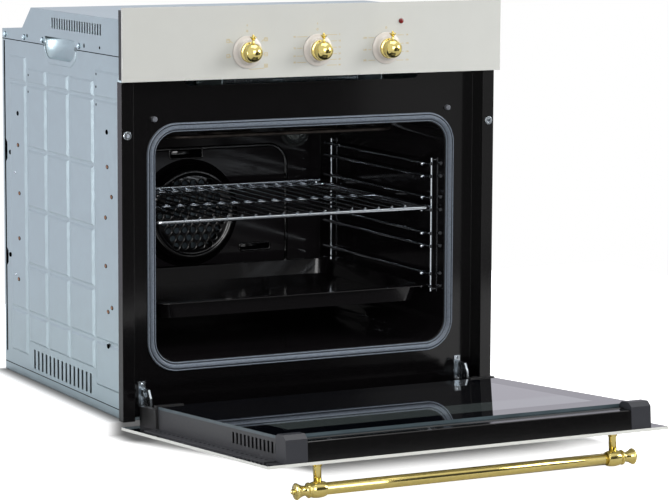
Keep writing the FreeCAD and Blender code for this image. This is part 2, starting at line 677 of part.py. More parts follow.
piece("convection_impeller", fuse(
    "ConvectionImpeller",
    rod("ImpellerShaft", "y", ("0", "cavity_back - 14", "fan_height"), "44", "shaft_radius"),
    rod("ImpellerHub", "y", ("0", "cavity_back - 15", "fan_height"), "11", "11"),
    rod("ImpellerDisc", "y", ("0", "cavity_back - 5", "fan_height"), "1.2", "fan_radius"),
    *[spoke("ImpellerBlade", "y", ("0", "0", "fan_height"), 30 * i, ("9", "fan_radius"),
            ("cavity_back - 15", "cavity_back - 4.5"), "1.2") for i in range(12)],
))


def element(name, height, runs, front, rear, cross):
    """A heating tube in level loops; runs gives its runs from the middle outwards."""
    parts = []
    near, mid, far = runs
    r1 = f"(({mid}) - ({near})) / 2"
    r2 = f"(({far}) - ({mid})) / 2"
    tails = ((near, front, "cavity_back + 8"), (mid, front, rear), (far, f"{cross} + 30", rear))
    for sign in ("", "-"):
        for x, low, high in tails:
            parts.append(rod(name + "Run", "y", (f"{sign}({x})", low, height), f"({high}) - ({low})",
                "tube_radius"))
        parts.append(bend(name + "Front", (f"{sign}({near} + {mid}) / 2", front, height), r1, "tube_radius",
            180, "180"))
        parts.append(bend(name + "Rear", (f"{sign}({mid} + {far}) / 2", rear, height), r2, "tube_radius", 0,
            "180"))
        parts.append(bend(name + "Corner", (f"{sign}({far} - 30)", f"{cross} + 30", height), "30",
            "tube_radius",
                          180 if sign else 270, "90"))
    parts.append(rod(name + "Cross", "x", (f"-({far} - 30)", cross, height), f"2 * ({far} - 30)",
        "tube_radius"))
    return parts


piece("grill_element", fuse(
    "GrillElement",
    *element("Grill", "grill_height", (NEAR, "0.476 * mouth_half", "0.779 * mouth_half"),
             f"({FACE} + 127.5)", "(cavity_back - 70)", f"({FACE} + 57.5)"),
    *[rod("GrillFlange", "y", (x, "cavity_back - 2", "grill_height"), "2", "7") for x in GRILL_ENDS],
))
BASE_Z = "mouth_foot - skin - tube_radius - slide_gap"
piece("base_element", fuse(
    "BaseElement",
    *element("Base", BASE_Z, (NEAR, "0.433 * mouth_half", "0.736 * mouth_half"),
             f"({FACE} + 147.5)", "(cavity_back - 90)", f"({FACE} + 87.5)"),
))
piece("lamp_lens", turned("LampLens", "-y", ("lamp_x", "cavity_back", "lamp_height"), [
    ("0", "17"), ("0", "20"), ("9", "19"), ("17", "15"), ("21.5", "9"), ("22.5", "3"), ("26", "3"),
        ("26", "0"),
    ("20", "0"), ("19", "8"), ("15", "13"), ("8", "16.2"),
]))
piece("lamp_socket", turned("LampSocket", "y", ("lamp_x", "cavity_back + skin", "lamp_height"), [
    ("0", "2"), ("12", "2"), ("12", "0"), ("24", "0"), ("24", "3"), ("17", "3"), ("15", "30"), ("0", "30"),
]))
piece("lamp_bulb", turned("LampBulb", "-y", ("lamp_x", "cavity_back + skin + 2", "lamp_height"), [
    ("0", "0"), ("6", "0"), ("6", "6"), ("9", "10"), ("8", "15"), ("4", "18"), ("0", "18.5"),
]))
piece("insulation_wrap", cut(
    "InsulationWrap",
    box("WrapBlock", ("-mouth_half - skin - wrap_width", "mouth_half + skin + wrap_width"),
        (f"-{DEEP} + skin + 0.5", "cavity_back"), ("mouth_foot - 26", "mouth_crown + 27")),
    box("WrapHollow", ("-mouth_half - skin - 0.4", "mouth_half + skin + 0.4"),
        (f"-{DEEP}", "cavity_back + 1"),
        ("mouth_foot - 14", "mouth_crown + skin + 0.4")),
))

# Side racks, wire shelf and baking tray
LEVELS = ("level_one", "level_two", "level_three", "level_four")
RUNGS = [f"{level} + {extra}" for level in LEVELS for extra in ("0", "rung_gap")]
UPRIGHT = "(rack_x + 1.5 * rack_wire)"
RACK_TOP = "(level_four + rung_gap)"
RACK_ENDS = ("rack_front", "rack_rear")
rack = fuse(
    "RightRack",
    *[rod("RackRung", "y", ("rack_x", "rack_front - 6", z), "rack_rear - rack_front + 21", "rack_wire")
          for z in RUNGS],
    *[rod("RackUpright", "z", (UPRIGHT, y, "level_one - 8"), f"{RACK_TOP} - level_one + 16",
          "rack_wire - 0.3")
      for y in RACK_ENDS],
    *[rod("RackHook", "x", (UPRIGHT, y, z), f"mouth_half - {UPRIGHT}", "rack_wire - 0.6")
      for y in RACK_ENDS for z in ("level_one - 5", f"{RACK_TOP} + 5")],
)
piece("side_racks", pair("SideRacks", rack))
BAR_Z = "(level_three + sqrt((rack_wire + slide_gap + shelf_bar)^2 - (rack_x - shelf_half)^2))"
WIRE_Z = f"({BAR_Z} + shelf_bar + shelf_wire - 0.5)"
shelf_side = rod("ShelfSide", "y", ("shelf_half", f"shelf_front + shelf_corner", BAR_Z),
                 f"shelf_rear - shelf_front - 2 * shelf_corner", "shelf_bar")
shelf_post = rod("ShelfPost", "z", ("shelf_half - 16", "shelf_rear", BAR_Z), "7", "shelf_bar - 0.5")
shelf_corners = [
    bend("ShelfCorner", (f"{sign}(shelf_half - shelf_corner)", y, BAR_Z), "shelf_corner", "shelf_bar",
         start, "90")
    for sign, y, start in (
        ("", f"shelf_front + shelf_corner", 270), ("-", f"shelf_front + shelf_corner", 180),
        ("", f"shelf_rear - shelf_corner", 0), ("-", f"shelf_rear - shelf_corner", 90),
    )
]
CROSS = f"(shelf_half - shelf_corner)"
shelf_frame = fuse(
    "ShelfFrame",
    shelf_side, mirrored(shelf_side), *shelf_corners,
    *[rod("ShelfCross", "x", (f"-{CROSS}", y, BAR_Z), f"2 * {CROSS}", "shelf_bar")
      for y in ("shelf_front", "shelf_rear")],
)
shelf_back = fuse(
    "ShelfBack",
    shelf_post, mirrored(shelf_post),
    rod("ShelfGuard", "x", ("-shelf_half + 10", "shelf_rear", f"{BAR_Z} + 7"), "2 * shelf_half - 20",
        "shelf_bar"),
)
piece("wire_shelf", fuse(
    "WireShelf",
    shelf_frame, shelf_back,
    rod("ShelfMiddle", "x", ("-shelf_half", "(shelf_front + shelf_rear) / 2", BAR_Z), "2 * shelf_half",
        "shelf_bar - 0.5"),
    *[rod("ShelfWire", "y", (f"{i} * shelf_pitch", "shelf_front - 4.5", WIRE_Z),
          "shelf_rear - shelf_front + 7", "shelf_wire") for i in range(-8, 9)],
))
RIM = "(level_one + rack_wire + slide_gap)"


def pan(name, half, front, rear, crown, depth, corner):
    """A block with round corners that narrows downwards, for one side of a dished sheet."""
    body = doc.addObject("PartDesign::Body", name)
    sketch = outline(body, "XY_Plane", rect(f"-({half})", half, front, rear))
    bind(sketch, {"AttachmentOffset.Base.z": crown})
    pad = body.newObject("PartDesign::Pad", name + "Pad")
    pad.Profile = sketch
    pad.Reversed = True
    pad.TaperAngle = -14
    bind(pad, {"Length": depth})
    doc.recompute()
    slanted = lambda edge: abs(edge.tangentAt(edge.FirstParameter).z) > 0.5
    return rounded(body, corner, slanted)


INSIDE = "(pan_half - pan_rim)"
rim_sheet = rounded(
    prism("PanRim", "XY_Plane", rect("-pan_half", "pan_half", "pan_front", "pan_rear"), RIM, "pan_skin"),
    "24", along("z"),
)
piece("baking_tray", cut(
    "BakingTray",
    fuse(
        "PanBlock", rim_sheet,
        pan("PanOuter", INSIDE, "pan_front + pan_rim", "pan_rear - pan_rim", f"{RIM} + pan_skin",
            "pan_depth", "22"),
    ),
    pan("PanHollow", f"{INSIDE} - pan_skin", "pan_front + pan_rim + pan_skin",
        "pan_rear - pan_rim - pan_skin",
        f"{RIM} + pan_skin", "pan_depth - pan_skin", "20.8"),
))

# Hinge receivers, arms and latches on the frame
ARM_FACE = "(hinge_x - arm_skin / 2)"
receiver = cut(
    "RightReceiver",
    box("ReceiverPlate", ("hinge_x - 5", "hinge_x + 5"), (f"{FACE} - 2", FACE),
        ("arm_height - 16", "arm_height + 19")),
    box("ReceiverSlot", (ARM_FACE, f"{ARM_FACE} + arm_skin"), (f"{FACE} - 3", f"{FACE} + 1"),
        ("arm_height - 12", "arm_height + 12")),
)
piece("hinge_receivers", pair("HingeReceivers", receiver))
arm = cut(
    "RightArm",
    fuse(
        "ArmBlank",
        prism("ArmPlate", "YZ_Plane", [
            (f"{PIVOT} - eye_radius", "hinge_height"), (f"{PIVOT} - 2.1", "arm_height"),
            (f"{PIVOT} + 5.4", "arm_height + 11"), (f"{FACE} + 4", "arm_height + 12"),
            (f"{FACE} + 31.5", "arm_height + 12"), (f"{FACE} + 31.5", "arm_height - 12"),
            (f"{FACE} - 8", "arm_height - 12"), (f"{PIVOT} + 11.4", "arm_height - 16"),
            (f"{PIVOT} + eye_radius", "hinge_height"),
        ], ARM_FACE, "arm_skin"),
        rod("ArmEye", "x", (ARM_FACE, PIVOT, "hinge_height"), "arm_skin", "eye_radius"),
    ),
    rod("ArmBore", "x", (f"{ARM_FACE} - 1", PIVOT, "hinge_height"), "arm_skin + 2",
        "pin_radius + running_gap"),
)
piece("hinge_arms", pair("HingeArms", arm))
LATCH_Y = f"({PIVOT} + 17.4)"
LATCH_X = f"({ARM_FACE} + arm_skin + slide_gap)"
latch = fuse(
    "RightLatch",
    prism("LatchPlate", "YZ_Plane", [
        (f"{LATCH_Y} - 4", "arm_height"), (f"{LATCH_Y} + 8", "arm_height"),
            (f"{LATCH_Y} + 8", "arm_height + 9"),
        (f"{LATCH_Y} + 1", "arm_height + 9"), (f"{LATCH_Y} - 4", "arm_height + 6"),
    ], LATCH_X, "1.6"),
    rod("LatchRivet", "x", (LATCH_X, LATCH_Y, "arm_height + 4"), "2.4", "2.2"),
)
piece("right_hinge_latch", latch)
piece("left_hinge_latch", mirrored(latch))

# Fascia, controls and knobs
KNOBS = (("function", "-knob_pitch"), ("timer", "0"), ("thermostat", "knob_pitch"))
CARRIER = (f"{FRONT} + pane", f"{FRONT} + pane + carrier_depth")
PLATE_BACK = f"({CARRIER[0]} + carrier_wall)"
piece("fascia_glass", cut(
    "FasciaGlass",
    box("FasciaPane", ("-front_width / 2", "front_width / 2"), (FRONT, f"{FRONT} + pane"),
        ("fascia_foot", "fascia_crown")),
    *[rod("SpindleHole", "y", (x, f"{FRONT} - 1", "knob_height"), "pane + 2", "spindle_radius + 1.5")
          for name, x in KNOBS],
    rod("PilotHole", "y", ("pilot_x", f"{FRONT} - 1", "pilot_height"), "pane + 2", "pilot_radius - 0.7"),
))
carrier_tray = cut(
    "CarrierTray",
    box("CarrierBlock", ("-carrier_half", "carrier_half"), CARRIER, ("fascia_foot + 2", "fascia_crown - 4")),
    box("CarrierHollow", ("-carrier_half + carrier_wall", "carrier_half - carrier_wall"),
        (PLATE_BACK, f"{CARRIER[1]} + 1"),
        ("fascia_foot + 2 + carrier_wall", "fascia_crown - 4 - carrier_wall")),
)
legs = [
    box("CarrierLeg", (f"{x} - 9", f"{x} + 9"), (PLATE_BACK, FACE), ("fascia_foot + 8", "panel_top - 3"))
    for x in [f"{share} * carrier_half" for share in (-0.83, -0.56, 0.56, 0.83)]
]
piece("fascia_carrier", cut(
    "FasciaCarrier",
    fuse("CarrierSheet", carrier_tray, *legs),
    *[rod("CarrierSpindleHole", "y", (x, f"{CARRIER[0]} - 1", "knob_height"), "carrier_wall + 2",
          "spindle_radius + 1.5")
      for name, x in KNOBS],
    rod("CarrierPilotHole", "y", ("pilot_x", f"{CARRIER[0]} - 1", "pilot_height"), "carrier_wall + 2",
        "pilot_radius - 0.7"),
))
piece("control_switches", group("ControlSwitches", *[
    cut(
        "Switch",
        fuse(
            "SwitchBlock",
            box("SwitchBody", (f"{x} - 22", f"{x} + 22"), (PLATE_BACK, f"{PLATE_BACK} + 28"),
                ("knob_height - 20", "knob_height + 20")),
            *[box("SwitchTab", (f"{x} + {t} - 3", f"{x} + {t} + 3"),
                  (f"{PLATE_BACK} + 28", f"{PLATE_BACK} + 34"), ("knob_height + 8", "knob_height + 9"))
              for t in (-14, 0, 14)],
        ),
        rod("SwitchBore", "y", (x, f"{PLATE_BACK} - 1", "knob_height"), "22", "spindle_radius + running_gap"),
    )
    for name, x in KNOBS
]))
BALL_Y = f"({FRONT} - grip_reach)"
for name, x in KNOBS:
    shell = turned(f"{name}_Skirt", "-y", (x, f"{FRONT} - skirt_gap", "knob_height"), [
        ("spindle_radius + 0.1", "0"), ("skirt_radius", "0"), ("skirt_radius", "1.2"),
        ("skirt_radius - 1.3", "2.2"), ("skirt_radius - 3.8", "3.4"), ("skirt_radius - 5.8", "5.2"),
        ("skirt_radius - 7", "skirt_height"), ("spindle_radius + 0.1", "skirt_height"),
    ])
    centre = (x, BALL_Y, "knob_height")
    piece(f"{name}_knob_skirt", cut(f"{name}_SkirtSeat", shell,
        ball(f"{name}_SeatBall", centre, "grip_radius + 0.1")))
    half = ((0.157, 0.786), (0.157, 1.179), (0.243, 1.321), (0.329, 1.629), (0.164, 1.486), (0.114, 1.614))
    crown = prism(f"{name}_Crown", "XZ_Plane", [
        *[(f"{x} + {w} * grip_radius", f"knob_height + {h} * grip_radius") for w, h in half],
        (x, "knob_height + 1.829 * grip_radius"),
        *[(f"{x} - {w} * grip_radius", f"knob_height + {h} * grip_radius") for w, h in reversed(half)],
    ], f"{BALL_Y} - 1.8", "3.6")
    band = rod(f"{name}_Ring", "-y", (x, f"{FRONT} - skirt_gap - skirt_height - 0.1", "knob_height"),
        "ring_width", "ring_radius")
    piece(f"{name}_knob_grip", cut(
        f"{name}_Grip",
        fuse(f"{name}_GripBlank", ball(f"{name}_GripBall", centre, "grip_radius"), band, crown),
        rod(f"{name}_GripBore", "y", (x, f"{BALL_Y} - 4", "knob_height"), "30", "spindle_radius + 0.05"),
    ))
    piece(f"{name}_spindle", rod(f"{name}_Spindle", "y", (x, f"{BALL_Y} - 4", "knob_height"),
                                 f"{PLATE_BACK} + 18 - ({BALL_Y} - 4)", "spindle_radius"))
piece("pilot_lamp", turned("PilotLamp", "-y", ("pilot_x", FRONT, "pilot_height"), [
    ("0", "-20"), ("pilot_radius - 0.8", "-20"), ("pilot_radius - 0.8", "0"), ("pilot_radius", "0"),
    ("pilot_radius", "1.4"), ("pilot_radius - 1.2", "2.8"), ("0", "3.4"),
]))

# Cooling blower under the housing, and the mains terminals
FLOOR = "(mouth_crown + 27)"
BLOWER_Z = f"({FLOOR} + blower_radius + 10)"
END = "(blower_half + 6)"
blower_y = (f"-{DEEP} + 2", "blower_y + blower_radius + 10")
blower_shell = fuse(
    "BlowerShell",
    box("BlowerFloor", (f"-{END}", END), blower_y, (FLOOR, f"{FLOOR} + skin")),
    box("BlowerBack", (f"-{END}", END), (f"{blower_y[1]} - skin", blower_y[1]), (FLOOR, f"{BLOWER_Z} + 4")),
    box("BlowerLip", (f"-{END}", END), (blower_y[0], f"{blower_y[0]} + 50"),
        (f"{BLOWER_Z} + 12", f"{BLOWER_Z} + 12 + skin")),
    *[box("BlowerEnd", (f"{low}", f"{low} + skin"), blower_y, (FLOOR, f"{BLOWER_Z} + blower_radius + 6"))
      for low in (f"-{END} - skin", END)],
)
piece("blower_housing", cut(
    "BlowerHousing", blower_shell,
    *[rod("BlowerShaftHole", "x", (f"{low} - 1", "blower_y", BLOWER_Z), "skin + 2", radius)
      for low, radius in ((f"-{END} - skin", "shaft_radius + running_gap"), (END, "shaft_radius + 2"))],
))
AXIS = ("0", "blower_y", BLOWER_Z)
piece("blower_rotor", fuse(
    "BlowerRotor",
    rod("RotorShaft", "x", (f"-{END} - 4", "blower_y", BLOWER_Z), f"2 * {END} + 34", "shaft_radius"),
    *[rod("RotorDisc", "x", (x, "blower_y", BLOWER_Z), "1.2", "blower_radius")
      for x in ("-blower_half", "-0.6", "blower_half - 1.2")],
    *[spoke("RotorBlade", "x", AXIS, 22.5 * i, ("blower_radius - 8", "blower_radius - 0.3"),
            ("-blower_half", "blower_half"), "1") for i in range(16)],
))
piece("blower_motor", cut(
    "BlowerMotor",
    fuse(
        "BlowerMotorBlock",
        box("BlowerStator", (f"{END} + skin", f"{END} + skin + 34"), ("blower_y - 26", "blower_y + 26"),
            (f"{BLOWER_Z} - 26", f"{BLOWER_Z} + 26")),
        rod("BlowerCap", "x", (f"{END} + skin + 34", "blower_y", BLOWER_Z), "6", "15"),
    ),
    rod("BlowerBore", "x", (f"{END}", "blower_y", BLOWER_Z), "36", "shaft_radius + running_gap"),
))
piece("terminal_box", cut(
    "TerminalBox",
    fuse(
        "TerminalBlock",
        box("TerminalCase", ("-gland_x - 35", "-gland_x + 35"), (f"{DEEP} - skin - 34", f"{DEEP} - skin"),
            ("gland_height - 30", "gland_height + 30")),
        rod("CableGland", "y", ("-gland_x", f"{DEEP} - skin", "gland_height"), "skin + 5", "10"),
    ),
    rod("CableBore", "y", ("-gland_x", f"{DEEP} - skin - 20", "gland_height"), "40", "4.5"),
))


# Door, drawn level about its hinge line and then hung open
def slope(e):
    """Distance from the hinge edge, as a place along Y."""
    return f"(hinge_edge - ({e}))"


def deep(d):
    """Distance behind the outer face, as a place along Z."""
    return f"(({d}) - hinge_depth)"


def door_box(name, x, e, d):
    """A block of the door between two distances along it and two through it."""
    return box(name, x, (slope(e[1]), slope(e[0])), (deep(d[0]), deep(d[1])))


def door_prism(name, corners, start, length):
    """An outline of the door's cross-section drawn out along X."""
    return prism(name, "YZ_Plane", [(slope(e), deep(d)) for e, d in corners], start, length)


def hung(label, item):
    """Enters a piece of the door in its open place."""
    turn = "rotation(vector(1; 0; 0); -door_tilt)"
    bind(item, {"Placement": f"placement(vector(0; {PIVOT}; hinge_height); {turn})"})
    return piece(label, item)


SEAT = "(glass_face - pane)"
POST_HOLES = [rod("PostHole", "z", (f"{side}post_x", slope("handle_along"), deep("-1")), "pane + 2", "3")
              for side in ("-", "")]
hung("door_outer_glass", cut(
    "OuterGlass",
    door_box("OuterPane", ("-front_width / 2", "front_width / 2"), ("0", "door_length"), ("0", "pane")),
    *POST_HOLES,
))
hung("door_inner_glass", group(
    "InnerGlass", door_box("InnerPane", ("-glass_half", "glass_half"), ("glass_near", "glass_far"),
        (SEAT, "glass_face")),
))
GLASS = "(glass_far - glass_near)"
channel_sheet = fuse(
    "RightChannelSheet",
    door_box("ChannelWall", ("side_wall - skin", "side_wall"), ("glass_near", "glass_far"), ("pane", SEAT)),
    door_box("ChannelFlange", ("side_wall", "side_flange"), ("glass_near", "glass_far"),
        ("pane", "pane + skin")),
    door_box("ChannelLip", ("side_wall - 15", "side_wall - skin"), ("glass_near", "glass_far"),
        (f"{SEAT} - skin", SEAT)),
)
right_channel = cut(
    "RightChannel", channel_sheet,
    *[door_box("WallSlot", ("side_wall - skin - 1", "side_wall + 1"),
               (f"glass_near + {0.6345 + 0.0308 * i:.4f} * {GLASS}",
                   f"glass_near + {0.6502 + 0.0308 * i:.4f} * {GLASS}"),
               ("12", "27")) for i in range(12)],
    *[door_box("FlangeSlot", ("side_wall + 8", "side_wall + 12"),
               (f"glass_near + {0.0339 + 0.0381 * i:.4f} * {GLASS}",
                   f"glass_near + {0.0548 + 0.0381 * i:.4f} * {GLASS}"),
               ("pane - 1", "pane + skin + 1")) for i in range(25)],
)
hung("door_side_channels", pair("SideChannels", right_channel))
hung("door_top_rail", cut(
    "TopRail",
    door_prism("RailBar", [
        ("door_length - 2", "pane"), ("door_length - 2", f"{SEAT} - 3"), ("door_length - 3", f"{SEAT} - 2"),
        ("handle_along", f"{SEAT} - 1"), ("handle_along - 2", SEAT), ("glass_far - 2", SEAT),
        ("glass_far - 2", f"{SEAT} - 4"), ("handle_along - 2", f"{SEAT} - 6"), ("handle_along - 2", "pane"),
    ], "-rail_half", "2 * rail_half"),
    *[rod("HeadPocket", "z", (f"{s}post_x", slope("handle_along"), deep("pane - 1")), "6", "6.5")
          for s in ("-", "")],
))
hung("door_bottom_rail", cut(
    "BottomRail",
    door_box("BottomBar", ("-hinge_x + 10", "hinge_x - 10"), ("10", "glass_near - 11"), ("pane", "28")),
    door_box("BottomHollow", ("-hinge_x + 12", "hinge_x - 12"), ("9", "glass_near - 13"),
        ("pane + 1.5", "26.5")),
))
cap = door_prism("RightCap", [
    ("door_length - 1.5", "pane"), ("door_length - 1.5", "glass_face - 2"),
        ("door_length - 9", "glass_face + 4"),
    ("glass_far + 7", "glass_face + 4"), ("glass_far + 1", "glass_face"), ("glass_far + 1", "pane"),
], "rail_half + 0.4", "cap_half - rail_half - 0.4")
hung("door_corner_caps", pair("CornerCaps", cap))
holder = fuse(
    "RightHolder",
    door_box("HolderBlock", ("hinge_x + 8", "side_wall + 4"), ("1", "glass_near"), ("pane", SEAT)),
    door_box("HolderBar", ("side_wall - 38", "side_wall + 2"), ("glass_near - 9", "glass_near"),
        (f"{SEAT} - 3", "glass_face")),
    door_box("HolderLip", ("side_wall - 38", "side_wall + 2"), ("glass_near - 9", "glass_near + 3"),
        ("glass_face", "glass_face + 1.2")),
)
hung("glass_holders", pair("GlassHolders", holder))
channel = cut(
    "RightHingeChannel",
    door_box("HingeBlock", ("hinge_x - channel_half", "hinge_x + channel_half"), ("-4.2", "channel_end"),
        ("pane", "26")),
    door_box("HingeHollow", ("hinge_x - channel_half + skin", "hinge_x + channel_half - skin"),
             ("-6", "channel_end - skin"), ("pane + skin", "27")),
)
channel = cut(
    "RightHingeSeat", channel,
    rod("PinHole", "x", ("hinge_x - channel_half - 1", "0", "0"), "2 * channel_half + 2",
        "pin_radius + running_gap"),
)
hung("hinge_channels", pair("HingeChannels", channel))
pin = rod("RightPin", "x", ("hinge_x - channel_half - 1", "0", "0"), "2 * channel_half + 2", "pin_radius")
hung("hinge_pins", pair("HingePins", pin))
ROD_D = deep("16")
hinge_rod = fuse(
    "RightRod",
    rod("RodBar", "-y", ("hinge_x", slope("rod_tip"), ROD_D), "rod_length", "2.5"),
    rod("RodCollar", "-y", ("hinge_x", slope("rod_tip + rod_length - 5"), ROD_D), "5", "4.4"),
    rod("RodStop", "-y", ("hinge_x", slope("rod_tip + 8"), ROD_D), "3", "4.4"),
)
hung("hinge_rods", pair("HingeRods", hinge_rod))
spring = cut(
    "RightSpring",
    rod("SpringCoil", "-y", ("hinge_x", slope("rod_tip + 11"), ROD_D), "rod_length - 16", "4.4"),
    rod("SpringBore", "-y", ("hinge_x", slope("rod_tip + 10"), ROD_D), "rod_length - 14", "2.8"),
)
hung("hinge_springs", pair("HingeSprings", spring))

# Handle
BAR = (slope("handle_along"), deep("-handle_stand"))
collar_cut = [ball("CollarSeat", (f"{s}post_x", *BAR), "collar_radius") for s in ("-", "")]
hung("handle_bar", cut(
    "HandleBar", rod("BarBlank", "x", ("-post_x", *BAR), "2 * post_x", "handle_radius"), *collar_cut,
))
post = cut(
    "RightPost",
    fuse(
        "PostBlank",
        rod("PostRod", "-z", ("post_x", BAR[0], deep("0")), "handle_stand", "post_radius"),
        cone("PostFoot", "-z", ("post_x", BAR[0], deep("0")), "5", "post_radius + 3.5", "post_radius"),
    ),
    collar_cut[1],
    rod("PostBore", "-z", ("post_x", BAR[0], deep("1")), "14", "2.6"),
)
hung("handle_posts", pair("HandlePosts", post))
R = "handle_radius"
finial = fuse(
    "RightFinial",
    ball("Collar", ("post_x", *BAR), "collar_radius"),
    turned("FinialTurn", "x", ("post_x", *BAR), [
        ("0", "4"), (R, "4"), (R, "11.5"), (f"{R} + 2", "12"), (f"{R} + 2", "14.5"), (R, "15"),
        (f"{R} - 1.5", "18"), (f"{R} - 0.5", "23"), (f"{R} + 2.5", "28"), (f"{R} + 3", "30"),
            (f"{R} + 1", "32"),
        ("3.5", "33"), ("3.8", "36"), ("2", "38"), ("0", "38.4"),
    ]),
)
hung("handle_finials", pair("HandleFinials", finial))
screw = fuse(
    "RightHandleScrew",
    rod("HandleScrewHead", "z", ("post_x", BAR[0], deep("pane")), "3.5", "5"),
    rod("HandleScrewShank", "-z", ("post_x", BAR[0], deep("pane")), "pane + 11", "2.5"),
)
hung("handle_screws", pair("HandleScrews", screw))

doc.recompute()
for label, item in PARTS.items():
    shape = item.Shape
    if shape.isNull() or not shape.isValid() or shape.Volume <= 0 or "Up-to-date" not in item.State:
        raise RuntimeError(f"{label} is not sound: {item.State}")
for item in doc.Objects:
    if "Invalid" in item.State or "Error" in item.State:
        raise RuntimeError(f"{item.Name} did not compute: {item.State}")
os.makedirs("parts", exist_ok=True)
for label, item in PARTS.items():
    item.Shape.exportStep(f"parts/{label}.step")
print(len(PARTS), "sub-parts")
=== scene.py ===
import json
import math

import bmesh
import bpy
from mathutils import Matrix, Vector, noise


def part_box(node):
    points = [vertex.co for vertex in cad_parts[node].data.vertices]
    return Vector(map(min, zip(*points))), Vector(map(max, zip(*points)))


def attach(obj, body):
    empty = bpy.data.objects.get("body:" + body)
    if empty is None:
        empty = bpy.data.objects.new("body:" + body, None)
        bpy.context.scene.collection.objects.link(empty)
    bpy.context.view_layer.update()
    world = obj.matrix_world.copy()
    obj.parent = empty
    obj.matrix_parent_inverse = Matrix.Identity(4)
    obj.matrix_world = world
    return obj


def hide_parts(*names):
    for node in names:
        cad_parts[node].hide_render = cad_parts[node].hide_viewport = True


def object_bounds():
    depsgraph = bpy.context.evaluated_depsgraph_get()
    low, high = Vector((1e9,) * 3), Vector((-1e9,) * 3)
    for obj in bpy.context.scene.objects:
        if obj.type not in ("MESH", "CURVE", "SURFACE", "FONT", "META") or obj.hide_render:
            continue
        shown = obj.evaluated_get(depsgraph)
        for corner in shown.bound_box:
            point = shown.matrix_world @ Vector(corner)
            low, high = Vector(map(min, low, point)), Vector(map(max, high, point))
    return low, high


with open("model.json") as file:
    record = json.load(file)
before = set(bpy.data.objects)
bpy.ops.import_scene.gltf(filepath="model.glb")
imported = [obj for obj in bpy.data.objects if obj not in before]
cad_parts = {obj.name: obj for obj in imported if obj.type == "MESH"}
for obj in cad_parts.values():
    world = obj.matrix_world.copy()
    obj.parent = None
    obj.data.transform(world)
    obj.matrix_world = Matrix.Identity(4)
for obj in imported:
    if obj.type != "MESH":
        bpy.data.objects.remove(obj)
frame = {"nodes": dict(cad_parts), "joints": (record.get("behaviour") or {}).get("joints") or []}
CAD_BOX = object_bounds()
NODES = frame["nodes"]
JOINTS = {joint["name"]: joint for joint in frame["joints"]}
MM = 0.001

bl_info = {
    "name": "Built-in oven",
    "version": (1, 0, 0),
    "blender": (4, 5, 0),
    "location": "View3D > Sidebar > Oven",
    "description": "Finishes a built-in oven around its CAD model and sets it on a white stage",
    "category": "Object",
}


# ---------------------------------------------------------------- measures

def linear(text):
    """An sRGB hex colour as linear red, green and blue."""
    parts = [int(text[i:i + 2], 16) / 255 for i in (1, 3, 5)]
    return [p / 12.92 if p <= 0.04045 else ((p + 0.055) / 1.055) ** 2.4 for p in parts]


def middle(name):
    """Centre of a CAD node."""
    low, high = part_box(name)
    return (low + high) / 2


HINGE = Vector(JOINTS["door_hinge"]["pos_m"])
ALONG = Vector(JOINTS["hinge_rod_slide"]["axis"])        # from the hinge towards the top of the door
OUT = Vector((1, 0, 0)).cross(ALONG) * -1                 # from the outer face towards the oven
HINGE_EDGE, HINGE_DEPTH = 0.8 * MM, 10.6 * MM             # hinge line inside the glass's edge and face
KNOBS = ("function", "timer", "thermostat")
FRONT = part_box("fascia_glass")[0].y
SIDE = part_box("base_tray")[1].x                           # face of the case's sides
PANEL = -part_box("left_side_panel")[0].x                   # face of the pads pressed out of them
RUNGS = (156, 175, 216, 235, 270, 289, 320, 339)          # heights of the racks' rungs, in millimetres
RUNG_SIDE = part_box("side_racks")[1].x - 8 * MM            # from the middle of the oven to the rungs
GROUND = CAD_BOX[0].z - 1 * MM                            # the floor, just below the open door
CORNER_STEP = 6                                           # degrees between the points of a round corner
POINT = 0.001                                             # a radius, in millimetres, that counts as none
MADE = {}                                                 # materials by short name


def on_door(x, along, deep):
    """A point of the open door, by its distances from the hinge edge and from the outer face."""
    return HINGE + Vector((x, 0, 0)) + ALONG * (along - HINGE_EDGE) + OUT * (deep - HINGE_DEPTH)


# ---------------------------------------------------------------- meshes

def finished(build, name, smooth=True):
    """Turns a built shape into a mesh with its faces pointing outwards."""
    bmesh.ops.recalc_face_normals(build, faces=build.faces)
    for face in build.faces:
        face.smooth = smooth
    mesh = bpy.data.meshes.new(name)
    build.to_mesh(mesh)
    build.free()
    return mesh


def piece(name, build, finish, body, *replaced, slot, smooth=True):
    """Enters a built shape: its finish, the body it moves with and the nodes it stands for."""
    mesh = finished(build, name, smooth)
    made = bpy.data.objects.new(name, mesh)
    bpy.context.scene.collection.objects.link(made)
    mesh.materials.append(MADE[finish])
    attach(made, body)
    if replaced:
        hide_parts(*replaced)


def eased(points, steps=5):
    """A smooth run through points, for profiles."""
    run = []
    for i in range(len(points) - 1):
        a, b = points[max(i - 1, 0)], points[i]
        c, d = points[i + 1], points[min(i + 2, len(points) - 1)]
        for s in range(steps):
            t = s / steps
            run.append(tuple(
                0.5 * (2 * q + (r - p) * t + (2 * p - 5 * q + 4 * r - w) * t * t + (3 * q - p - 3 * r + w) * t ** 3)
                for p, q, r, w in zip(a, b, c, d)
            ))
    return run + [points[-1]]


def oval(x, y, wide, tall, count=16):
    """Points round an oval, by its middle and its two radii."""
    turns = [2 * math.pi * i / count for i in range(count)]
    return [(x + wide * math.cos(t), y + tall * math.sin(t)) for t in turns]


